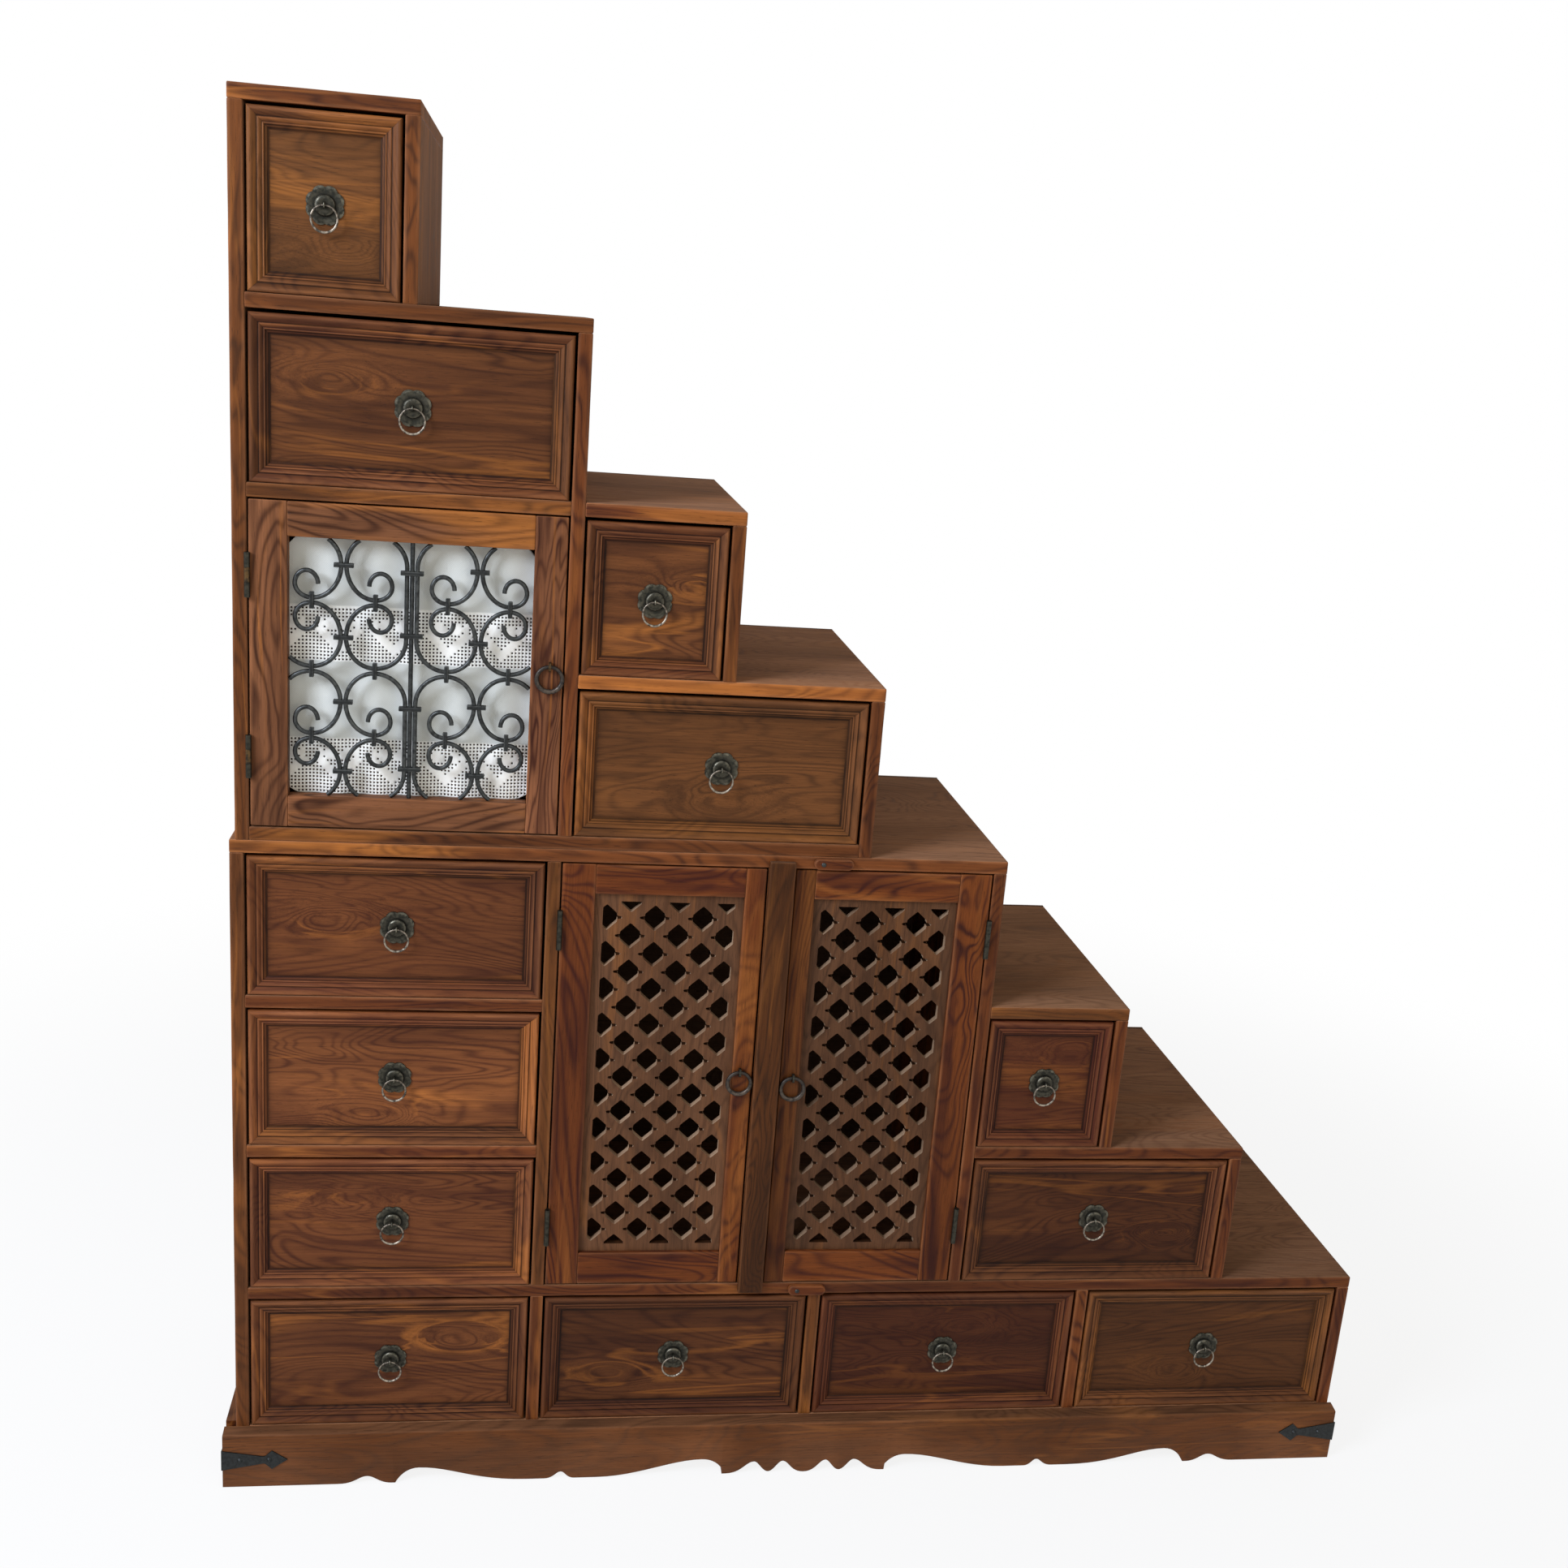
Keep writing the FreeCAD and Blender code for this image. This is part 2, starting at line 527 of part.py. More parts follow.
def make_drawer(name, left, foot, width, height):
    """A drawer: framed front, sides, back and a bottom held between them."""
    prefix = "drawer_" + name + "_"
    low_x, high_x = "%s + drawer_side_gap" % left, "%s + %s - drawer_side_gap" % (left, width)
    low_z, high_z = "%s + runner_gap" % foot, "%s + %s - drawer_top_gap" % (foot, height)
    rear = "moulding_height + front_panel"
    inner = ("%s + drawer_side" % low_x, "%s - drawer_side" % high_x)
    side_top = "%s - side_drop" % high_z
    members = [
        block(prefix + "panel", (low_x, high_x), ("moulding_height", rear), (low_z, high_z)),
        block(prefix + "left", (low_x, inner[0]), (rear, "drawer_depth"), (low_z, side_top)),
        block(prefix + "right", (inner[1], high_x), (rear, "drawer_depth"), (low_z, side_top)),
        block(prefix + "bottom", inner, (rear, "drawer_depth"),
              ("%s + bottom_lift" % low_z, "%s + bottom_lift + drawer_bottom" % low_z)),
        block(prefix + "back", inner, ("drawer_depth - drawer_side", "drawer_depth"),
              ("%s + bottom_lift + drawer_bottom" % low_z, side_top)),
    ]
    x0, x1 = size_of(low_x), size_of(high_x)
    z0, z1 = size_of(low_z), size_of(high_z)
    frame = ((x0, z0, 1, 1), (x1, z0, -1, 1), (x1, z1, -1, -1), (x0, z1, 1, -1))
    for number, corners in enumerate(zip(frame, frame[1:] + frame[:1]), start=1):
        strip = moulding_strip(corners, size("moulding_width"), size("moulding_height"),
                               size("moulding_height"))
        members.append(shaped(prefix + "frame_%d" % number, strip))
    gather("drawer_" + name, members)
    return (x0 + x1) / 2, (z0 + z1) / 2


def size_of(formula):
    """The present value of a sum of named sizes and places."""
    return float(sheet.evalExpression(bound(formula)))


def band_loop(radius, half, centre):
    """A loop of flat metal band about the x axis, from its middle radius and half its thickness."""
    start = centre - point(half, 0, 0)
    outside = Part.makeCylinder(radius + half, 2 * half, start, point(1, 0, 0))
    return outside.cut(Part.makeCylinder(radius - half, 2 * half, start, point(1, 0, 0)))


def flower_plate():
    """The pull's plate, boss and eye, its back at the origin and facing -y."""
    outer, inner = size("plate_radius"), size("plate_radius") - size("lobe_depth")
    step = 2 * math.pi / PETALS
    edges = []
    for petal in range(PETALS):
        marks = [(petal * step, inner), ((petal + 1 / 2) * step, outer), ((petal + 1) * step, inner)]
        edges.append(Part.Arc(*[point(r * math.sin(a), 0, r * math.cos(a)) for a, r in marks]).toShape())
    plate = Part.Face(Part.Wire(edges)).extrude(point(0, -size("plate_thickness"), 0))
    radius, rise, base = size("dome_radius"), size("dome_height"), -size("plate_thickness")
    sphere = (radius ** 2 + rise ** 2) / (2 * rise)
    slope = math.asin(radius / sphere) / 2
    crown = point(0, base - rise, 0)
    middle = point(sphere * math.sin(slope), base - rise + sphere * (1 - math.cos(slope)), 0)
    arc = Part.Arc(crown, middle, point(radius, base, 0)).toShape()
    lines = [Part.LineSegment(point(radius, base, 0), point(radius, 0, 0)).toShape(),
             Part.LineSegment(point(radius, 0, 0), point(0, 0, 0)).toShape(),
             Part.LineSegment(point(0, 0, 0), crown).toShape()]
    dome = Part.Face(Part.Wire([arc] + lines)).revolve(point(0, 0, 0), point(0, 1, 0), 360)
    eye = band_loop(size("eye_radius"), size("eye_wire"), point(0, -size("eye_reach"), 0))
    return plate.fuse(dome).fuse(eye)


def make_pull(name, across, up):
    """A flower plate on the drawer's panel and the ring that hangs from its eye."""
    plate = flower_plate()
    plate.translate(point(across, size("moulding_height"), up))
    alone("pull_plate_" + name, shaped("pull_plate_" + name, plate))
    centre = point(across, size("moulding_height") - size("eye_reach"), up - size("ring_radius"))
    ring = Part.makeTorus(size("ring_radius"), size("ring_wire"), centre, point(0, 1, 0))
    alone("pull_ring_" + name, shaped("pull_ring_" + name, ring))


def make_drawers():
    for name, left, foot, width, height in DRAWERS:
        across, up = make_drawer(name, left, foot, width, height)
        make_pull(name, across, up)


def frame_boards(prefix, left, right, foot, top, rails):
    """A door's two stiles and two rails from its outer formulas and its members' widths."""
    left_stile, right_stile, bottom_rail, top_rail = rails
    inner = ("%s + %s" % (left, left_stile), "%s - %s" % (right, right_stile))
    boards = (
        ("left_stile", (left, inner[0]), (foot, top)),
        ("right_stile", (inner[1], right), (foot, top)),
        ("bottom_rail", inner, (foot, "%s + %s" % (foot, bottom_rail))),
        ("top_rail", inner, ("%s - %s" % (top, top_rail), top)),
    )
    return panel_boards(prefix, boards, ("0", "door_thickness"))


def hole_outline(across, up):
    """One lattice hole: a curved diamond with a small point on each side."""
    half_width, half_height = size("hole_width") / 2, size("hole_height") / 2
    quarter = list(HOLE_SHARES)
    ring = quarter + [(-x, z) for x, z in reversed(quarter[:-1])]
    ring += [(x, -z) for x, z in reversed(ring[1:-1])]
    return [point(across + x * half_width, 0, up + z * half_height) for x, z in ring]


def lattice_panel(left, foot, mirrored):
    """A pierced panel: one face with its holes, clipped to the border, given its thickness."""
    width, height, border = size("lattice_width"), size("lattice_height"), size("lattice_border")
    pitch_x, pitch_z = size("lattice_pitch_across"), size("lattice_pitch_up")
    clip = Part.Face(Part.makePolygon([
        point(border, 0, border), point(width - border, 0, border), point(width - border, 0, height - border),
        point(border, 0, height - border), point(border, 0, border)]))
    holes = []
    for row in range(2 * LATTICE_ROWS + 1):
        stagger = row % 2 == 0
        up = height / 2 + (row - LATTICE_ROWS) * pitch_z / 2
        for column in range(LATTICE_COLUMNS):
            across = (FIRST_HOLE_SHARE + column + stagger / 2) * pitch_x
            outline = hole_outline(across, up)
            holes.append(Part.Face(Part.makePolygon(outline + outline[:1])))
    pierced = Part.makeCompound(holes).common(clip)
    sheet_face = Part.Face(Part.makePolygon([
        point(0, 0, 0), point(width, 0, 0), point(width, 0, height), point(0, 0, height), point(0, 0, 0)]))
    panel = sheet_face.cut(pierced).Faces[0].extrude(point(0, size("lattice_thickness"), 0))
    if mirrored:
        panel = panel.mirror(point(width / 2, 0, 0), point(1, 0, 0))
    panel.translate(point(left, size("lattice_recess"), foot))
    return panel


def hinge_leaf(axis_x, middle, toward, carries_pin):
    """Half of a butt hinge: its leaf, its knuckles and, on the fixed half, the pin."""
    length, reach = size("hinge_length"), size("hinge_reach")
    gap, thick = size("knuckle_gap"), size("leaf_thickness")
    share = length / HINGE_KNUCKLES
    foot = middle - length / 2
    inner = size("door_gap") / 2 - thick
    low_x = axis_x + inner if toward > 0 else axis_x - inner - thick
    leaf = Part.makeBox(thick, size("leaf_depth"), length, point(low_x, 0, foot))
    for number in range(HINGE_KNUCKLES):
        own = number % 2 == (0 if carries_pin else 1)
        if not own:
            continue
        start = foot + number * share + (gap / 2 if number else 0)
        end = foot + (number + 1) * share - (gap / 2 if number < HINGE_KNUCKLES - 1 else 0)
        knuckle = Part.makeCylinder(size("knuckle_radius"), end - start, point(axis_x, -reach, start))
        arm = Part.makeBox(thick, reach, end - start, point(low_x, -reach, start))
        leaf = leaf.fuse(knuckle).fuse(arm)
    if carries_pin:
        return leaf.fuse(Part.makeCylinder(size("pin_radius"), length, point(axis_x, -reach, foot)))
    bore = size("pin_radius") + size("pin_clearance")
    return leaf.cut(Part.makeCylinder(bore, length, point(axis_x, -reach, foot)))


def staple(across, up):
    """The bent band that holds a door ring, its two feet on the door's face."""
    over = size("cut_overrun")
    band = band_loop(size("staple_radius"), size("staple_wire"), point(across, -size("staple_reach"), up))
    return band.cut(Part.makeBox(2 * over, over, 2 * over, point(across - over, 0, up - over)))


def door_ring(label, across, up):
    """A heavy ring that hangs from a door's staple."""
    centre = point(across, -size("staple_reach"), up - size("door_ring_radius"))
    ring = Part.makeTorus(size("door_ring_radius"), size("door_ring_wire"), centre, point(0, 1, 0))
    alone(label, shaped(label, ring))


def hinge_heights(foot, height):
    """Middles of a door's lower and upper hinges."""
    return foot + size("hinge_inset"), foot + height - size("hinge_inset")


def make_hinges():
    """The leaves that are screwed to the case, for all three doors."""
    leaves = []
    lattice_heights = hinge_heights(size("second_floor"), size("cabinet_height"))
    grille_heights = hinge_heights(size("fifth_floor"), size("grille_clear_height"))
    gap = size("door_gap") / 2
    doors = ((size("cabinet_left") + gap, -1, lattice_heights),
             (size("lower_top_width") - size("board") - gap, 1, lattice_heights),
             (size("upper_left") + gap, -1, grille_heights))
    for axis_x, toward, heights in doors:
        for middle in heights:
            leaf = hinge_leaf(axis_x, middle, toward, True)
            leaves.append(shaped("fixed_leaf_%d" % (len(leaves) + 1), leaf))
    gather("hinge_leaves", leaves)


def make_lattice_door(name, left, right, hinge_on_left):
    """A lattice door: frame, pierced panel, hinge halves, staple and ring."""
    foot, top = "second_floor + door_gap", "lower_top - board - door_gap"
    stiles = ("hinge_stile", "meeting_stile") if hinge_on_left else ("meeting_stile", "hinge_stile")
    frame = frame_boards("lattice_%s_" % name, left, right, foot, top,
                         stiles + ("lattice_bottom_rail", "lattice_top_rail"))
    gather("lattice_door_%s_frame" % name, frame)
    panel_left = size_of("%s + %s" % (left, stiles[0]))
    panel = lattice_panel(panel_left, size_of("%s + lattice_bottom_rail" % foot), False)
    alone("lattice_panel_" + name, shaped("lattice_panel_" + name, panel))
    side = 1 if hinge_on_left else -1
    outer = size_of(left if hinge_on_left else right)
    ring_reach = size("door_ring_radius") + size("door_ring_wire") + size("post_ring_gap")
    post = size("post_left") if hinge_on_left else size("post_right")
    ring_x = post - side * ring_reach
    ring_z = size_of("(second_floor + lower_top - board) / 2") + size(name + "_ring_rise")
    axis_x = outer - side * size("door_gap") / 2
    hardware = [shaped("%s_leaf_%d" % (name, number), hinge_leaf(axis_x, middle, side, False))
                for number, middle in enumerate(hinge_heights(size("second_floor"), size("cabinet_height")))]
    hardware.append(shaped(name + "_staple", staple(ring_x, ring_z)))
    gather("lattice_door_%s_hardware" % name, hardware)
    door_ring("lattice_door_%s_ring" % name, ring_x, ring_z)


def quarter(centre, half_width, half_height, start_degrees):
    """A quarter of an ellipse as a function of its share run: the place and the outward normal."""
    def at(share):
        angle = math.radians(start_degrees + 90 * share)
        place_at = point(centre.x + half_width * math.cos(angle), 0, centre.z + half_height * math.sin(angle))
        normal = point(half_height * math.cos(angle), 0, half_width * math.sin(angle))
        return place_at, normal.normalize()
    return at


def straight(start, end):
    """A straight run as a function of its share run: the place and the normal on its right."""
    along = (end - start).normalize()
    return lambda share: (start + (end - start) * share, point(along.z, 0, -along.x))


def half_scroll(reach):
    """Half a scroll above its joint, bulging towards +x: its curl, its bulge and its end."""
    rise, offset, lift = size("curl_rise"), size("curl_offset"), (size("iron_bar") + size("bar_gap")) / 2
    bulge = size("column_meet") - size("column_inner") - lift
    flat, middle = scroll_flat(), size("scroll_middle")
    return [
        quarter(point(-offset, 0, rise), size("curl_width"), size("curl_height"), 0),
        quarter(point(-offset, 0, rise), size("curl_width"), size("curl_height"), 90),
        quarter(point(0, 0, rise), offset + size("curl_width"), rise - lift, 180),
        quarter(point(0, 0, middle), bulge, middle - lift, 270),
        quarter(point(0, 0, middle), bulge, reach, 0),
        quarter(point(0, 0, middle), flat, reach, 90),
    ]


def scroll_flat():
    """From a scroll's joint to its straight side, which lies along the centre bar."""
    return size("column_inner") - size("iron_bar") - size("bar_gap")


def level_height():
    """From the window's middle to each level of scrolls."""
    return size("window_height") / (2 * GRILLE_LEVELS) + size("grille_overlap")


def scroll_band():
    """The upper scroll's flat outline: arcs through points on both sides of its centre line."""
    flat, middle = scroll_flat(), size("scroll_middle")
    lift = (size("iron_bar") + size("bar_gap")) / 2
    upper = half_scroll(size("end_reach"))
    lower = half_scroll(level_height() - middle - lift)
    lower = [lambda share, run=run: flipped(run(1 - share)) for run in reversed(lower)]
    side = straight(point(-flat, 0, middle), point(-flat, 0, -middle))
    half = size("iron_bar") / 2
    left, right = [], []
    for run in upper + [side] + lower:
        steps = 2 if run is not side else 1
        for number in range(steps):
            marks = [run((number + mark / 2) / steps) for mark in range(3)]
            for edge, sign in ((left, 1), (right, -1)):
                ends = [spot + normal * sign * half for spot, normal in marks]
                bend = Part.LineSegment(ends[0], ends[2]) if run is side else Part.Arc(*ends)
                edge.append(bend.toShape())
    caps = [Part.LineSegment(left[0].Vertexes[0].Point, right[0].Vertexes[0].Point).toShape(),
            Part.LineSegment(left[-1].Vertexes[-1].Point, right[-1].Vertexes[-1].Point).toShape()]
    return Part.Face(Part.Wire(Part.__sortEdges__(left + right + caps)))


def flipped(mark):
    """A place and its normal mirrored from the scroll's upper half to its lower half."""
    spot, normal = mark
    return point(spot.x, 0, -spot.z), point(normal.x, 0, -normal.z)


def grille_collars(centre_x, levels):
    """Collars round the centre bar, between the columns and between the curls."""
    tall = size("joint_collar_length")
    boxes = []
    for up in levels:
        for side in (-1, 1):
            meet = up + side * size("scroll_middle")
            boxes.append((centre_x, up + side * (size("scroll_middle") - size("collar")),
                          size("centre_collar_length"), size("collar")))
            for column in (-1, 1):
                boxes.append((centre_x + column * size("column_meet"), meet,
                              size("side_collar_length"), size("collar")))
    spots = levels + [sum(levels) / len(levels)]
    for up in spots:
        for side in (-1, 1):
            for column in (size("column_inner"), 2 * size("column_meet") - size("column_inner")):
                boxes.append((centre_x + side * column, up, size("collar"), tall))
    proud, depth = size("collar_proud"), size("iron_bar") + 2 * size("collar_proud")
    return [Part.makeBox(width, depth, height, point(x - width / 2, -proud, z - height / 2))
            for x, z, width, height in boxes]


def make_grille():
    """The iron grille: scrolls in four columns and two levels, a centre bar and collars."""
    left, foot = size("window_left"), size("window_foot")
    width, height = size("window_width"), size("window_height")
    centre_x, middle, bar = left + width / 2, foot + height / 2, size("iron_bar")
    levels = [middle - level_height(), middle + level_height()]
    origin, sideways, upwards = point(0, 0, 0), point(1, 0, 0), point(0, 0, 1)
    band = scroll_band().extrude(point(0, bar, 0))
    pieces = []
    for up in levels:
        scroll = band if up > middle else band.mirror(origin, upwards)
        for column in (size("column_inner"), -2 * size("column_meet") + size("column_inner")):
            inner = scroll.translated(point(column, 0, up))
            for spot in (inner, inner.mirror(origin, sideways)):
                pieces.append(spot.translated(point(centre_x, 0, 0)))
    pieces.append(Part.makeBox(bar, bar, height, point(centre_x - bar / 2, 0, foot)))
    iron = pieces[0].multiFuse(pieces[1:] + grille_collars(centre_x, levels))
    over = size("cut_overrun")
    window = Part.makeBox(width, 2 * over + bar, height, point(left, -over, foot))
    iron = iron.common(window).removeSplitter()
    iron.translate(point(0, size("grille_recess"), 0))
    whole = max(iron.Solids, key=lambda solid: solid.Volume)
    alone("grille_iron", shaped("grille_iron", whole))


def fold_wire(low, high, up, depth):
    """The curtain's outline at one height: arcs of well under a half circle, front and back."""
    thick, rise = size("curtain_thickness"), size("fold_depth") / 2
    middle = size("door_thickness") + size("cloth_gap") + rise
    waves = round((high - low) / size("fold_width"))
    step = (high - low) / (2 * waves)
    near, far = [], []
    for number in range(2 * waves):
        start = low + number * step
        bow = depth / 2 if number % 2 else -depth / 2
        for edge, shift in ((near, 0), (far, thick)):
            marks = [point(start, middle + shift, up), point(start + step / 2, middle + bow + shift, up),
                     point(start + step, middle + shift, up)]
            edge.append(Part.Arc(*marks).toShape())
    ends = [Part.LineSegment(point(x, middle, up), point(x, middle + thick, up)).toShape()
            for x in (low, high)]
    return Part.Wire(Part.__sortEdges__(near + far + ends))


def make_curtain():
    """The curtain behind the grille: one cloth whose upright folds are fullest at the foot."""
    overlap = size("curtain_overlap")
    low, high = size("window_left") - overlap, size("window_left") + size("window_width") + overlap
    foot = size("window_foot") + size("curtain_lift")
    top = size("window_foot") + size("window_height") + overlap
    heights = ((foot, "fold_depth"), (top, "top_fold_depth"))
    wires = [fold_wire(low, high, up, size(depth)) for up, depth in heights]
    cloth = Part.makeLoft(wires, True, True)
    alone("curtain", shaped("curtain", cloth))


def make_grille_door():
    """The small upper door: frame, grille, curtain, hinge halves, staple and ring."""
    left, right = "upper_left + door_gap", "upper_left + upper_left_clear - door_gap"
    foot, top = "fifth_floor + door_gap", "seventh_floor - board - door_gap"
    widths = ("grille_hinge_stile", "grille_meeting_stile", "grille_bottom_rail", "grille_top_rail")
    gather("grille_door_frame", frame_boards("grille_", left, right, foot, top, widths))
    make_grille()
    make_curtain()
    ring_x = size_of("%s - grille_ring_inset" % right)
    ring_z = size_of("(%s + %s) / 2 + grille_ring_rise" % (foot, top))
    axis_x = size("upper_left") + size("door_gap") / 2
    heights = hinge_heights(size("fifth_floor"), size("grille_clear_height"))
    hardware = [shaped("grille_leaf_%d" % number, hinge_leaf(axis_x, middle, 1, False))
                for number, middle in enumerate(heights)]
    hardware.append(shaped("grille_staple", staple(ring_x, ring_z)))
    gather("grille_door_hardware", hardware)
    door_ring("grille_door_ring", ring_x, ring_z)


def make_button(label, across, up):
    """A wooden turn button with round ends and its screw head, pointing right."""
    width, thick, near = size("button_width"), size("button_thickness"), size("button_end")
    far = size("button_length") - near
    radius = width / 2
    front = -size("runner_gap")
    start = point(radius - near, front - thick, -radius)
    body = Part.makeBox(size("button_length") - width, thick, width, start)
    for x in (radius - near, far - radius):
        body = body.fuse(Part.makeCylinder(radius, thick, point(x, front, 0), point(0, -1, 0)))
    head = Part.makeCylinder(size("button_screw_radius"), size("button_screw_height"),
                             point(0, front - thick, 0), point(0, -1, 0))
    body = body.fuse(head).removeSplitter()
    body.translate(point(across, 0, up))
    alone(label, shaped(label, body))


def make_buttons():
    for place, offset, rail in (("top", "top_button_offset", "lower_top - board / 2"),
                                ("bottom", "bottom_button_offset", "second_floor - board / 2")):
        make_button("turn_button_" + place, size("post_middle") + size(offset), size_of(rail))


def build():
    """Makes every node of the chest."""
    make_lower_case()
    make_upper_case()
    make_back_boards()
    make_plinth()
    make_straps()
    make_hinges()
    make_drawers()
    make_grille_door()
    make_lattice_door("left", "cabinet_left + door_gap", "post_left - door_gap", True)
    make_lattice_door("right", "post_right + door_gap", "lower_top_width - board - door_gap", False)
    make_buttons()
    document.recompute()


def check_and_export():
    """Stops at a failed object or a bad shape, and then writes each node's file."""
    for item in document.Objects:
        if {"Invalid", "Error"} & set(item.State):
            raise RuntimeError("%s did not compute: %s" % (item.Label, item.State))
    for node in nodes:
        if node.Shape.isNull() or not node.Shape.isValid():
            raise RuntimeError("%s has a bad shape" % node.Label)
        if any(solid.Volume <= 0 for solid in node.Shape.Solids) or not node.Shape.Solids:
            raise RuntimeError("%s has no volume" % node.Label)
    for node in nodes:
        node.Shape.exportStep(os.path.join("parts", node.Label + ".step"))
    whole = Part.makeCompound([node.Shape for node in nodes]).BoundBox
    print("nodes", len(nodes), "solids", sum(len(node.Shape.Solids) for node in nodes))
    print("size", round(whole.XLength, 2), round(whole.YLength, 2), round(whole.ZLength, 2))
    print("centre", round(whole.Center.x, 3), round(whole.Center.y, 3), "foot", round(whole.ZMin, 4))


build()
check_and_export()
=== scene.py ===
"""Dresses the step chest: grained boards, drawers with ring pulls, lattice doors and a grille door."""

import math
import zlib

import bmesh
import bpy
import numpy as np
from mathutils import Matrix, Vector


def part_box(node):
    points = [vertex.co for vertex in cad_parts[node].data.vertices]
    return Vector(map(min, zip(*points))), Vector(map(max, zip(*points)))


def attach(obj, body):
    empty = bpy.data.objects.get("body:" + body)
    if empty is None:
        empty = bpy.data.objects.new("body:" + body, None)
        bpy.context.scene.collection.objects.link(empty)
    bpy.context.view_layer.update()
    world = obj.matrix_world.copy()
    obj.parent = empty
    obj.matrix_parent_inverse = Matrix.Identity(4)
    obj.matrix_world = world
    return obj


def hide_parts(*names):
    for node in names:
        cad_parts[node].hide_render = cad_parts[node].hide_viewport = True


bl_info = {
    "name": "Step chest",
    "version": (1, 0, 0),
    "blender": (4, 5, 0),
    "location": "3D View > Sidebar > Step chest",
    "description": "Builds the visible pieces of a step chest around its packed frame",
    "category": "Add Mesh",
}

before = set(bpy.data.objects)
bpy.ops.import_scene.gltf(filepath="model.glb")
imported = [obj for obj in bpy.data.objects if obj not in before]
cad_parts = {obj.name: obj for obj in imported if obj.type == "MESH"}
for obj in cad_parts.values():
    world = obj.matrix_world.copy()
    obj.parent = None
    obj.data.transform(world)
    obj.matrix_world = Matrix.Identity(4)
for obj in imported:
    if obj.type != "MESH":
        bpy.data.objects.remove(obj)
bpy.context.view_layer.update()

MM = 0.001
CASE_CORNER = np.array([-0.7815, -0.199, 0.0])
SHARP_DEGREES = 50
DRAWERS = sorted(name.removeprefix("drawer_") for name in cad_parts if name.startswith("drawer_"))

# Drawer fronts: tone, sapwood and redness, with nought for the wood's own, the shift along the grain in
# metres, and the place of the knot from the panel's middle in shares of the half size. The tones hold each
# front's own tone and also painted shade: the fronts on the right are darkened where less light reaches them
DRAWER_FINISH = {
    "level_8": ((0.1, 0.4, -0.35), 0.4, (0.3, -0.5)), "level_7": ((0.0, 0.0, -0.1), 1.1, (-0.5, 0.3)),
    "level_6": ((0.25, 0.2, -0.1), 1.9, (0.6, 0.2)), "level_5": ((0.1, 1.2, -0.3), 2.6, (0.05, -0.45)),
    "level_4_left": ((0.1, 0.25, 0.1), 3.3, (-0.4, 0.15)),
    "level_3_left": ((1.35, 0.8, 0.0), 4.1, (-0.2, -0.6)),
    "level_2_left": ((0.45, 0.45, 0.1), 4.7, (-0.3, 0.3)),
    "level_3_right": ((-0.5, 0.4, 0.5), 5.3, (0.4, 0.5)),
    "level_2_right": ((-0.8, -0.3, 0.1), 6.2, (0.6, -0.3)),
    "level_1_first": ((0.4, 0.2, 0.0), 6.9, (0.5, 0.3)),
    "level_1_second": ((-0.55, -0.3, 0.0), 7.4, (-0.5, -0.3)),
    "level_1_third": ((-1.0, -0.2, 0.45), 8.3, (0.2, 0.4)),
    "level_1_fourth": ((-0.5, 0.2, -0.2), 8.8, (-0.2, -0.4)),
}

# The same three values for each door's left stile, right stile, bottom rail and top rail
DOOR_FINISH = {
    "grille_door": ((0.45, 0.5, -0.1), (0.05, 0.4, 0.1), (-0.1, 0.6, -0.1), (0.1, 1.0, -0.1)),
    "lattice_door_left": ((-0.4, 0.4, 0.5), (-0.25, 0.8, 0.4), (-0.1, 0.5, 0.4), (-0.5, 0.3, 0.5)),
    "lattice_door_right": ((-1.1, 0.5, 0.3), (-0.2, 0.5, 0.3), (-0.1, 0.6, 0.3), (-0.5, 0.3, 0.4)),
}

# Moulding outline from its outer edge to its inner one: share of the width, share of the height, wear, which
# below nought is painted shade with dirt in the grooves and at the drop to the panel
MOULDING_WIDTH, MOULDING_HEIGHT = 24 * MM, 9 * MM
MITRE_GAP = 0.12 * MM
MOULDING_SHARES = np.array((
    (0, 0, 0), (0, 0.62, 0.1), (0.008, 0.72, 0.4), (0.03, 0.84, 0.7), (0.06, 0.93, 0.9), (0.1, 0.985, 1),
    (0.14, 1, 1), (0.185, 0.985, 0.8), (0.23, 0.935, 0.5), (0.28, 0.86, 0.3), (0.33, 0.77, 0.1),
    (0.38, 0.685, 0), (0.415, 0.625, -0.3), (0.44, 0.58, -1), (0.462, 0.575, -1), (0.482, 0.61, -0.2),
    (0.502, 0.64, 0.8), (0.53, 0.64, 1), (0.565, 0.6, 0.6), (0.61, 0.53, 0.2), (0.65, 0.455, 0),
    (0.678, 0.4, -0.7), (0.695, 0.4, -0.6), (0.712, 0.435, 0.6), (0.735, 0.455, 1), (0.755, 0.44, 0.9),
    (0.775, 0.37, 0.2), (0.79, 0.29, -0.8), (0.81, 0.25, -1), (0.84, 0.235, -0.3), (0.875, 0.2, -0.2),
    (0.905, 0.13, -0.7), (0.93, 0.07, -1), (0.96, 0.045, -1), (1, 0.035, -0.8), (1, 0, -1),
))

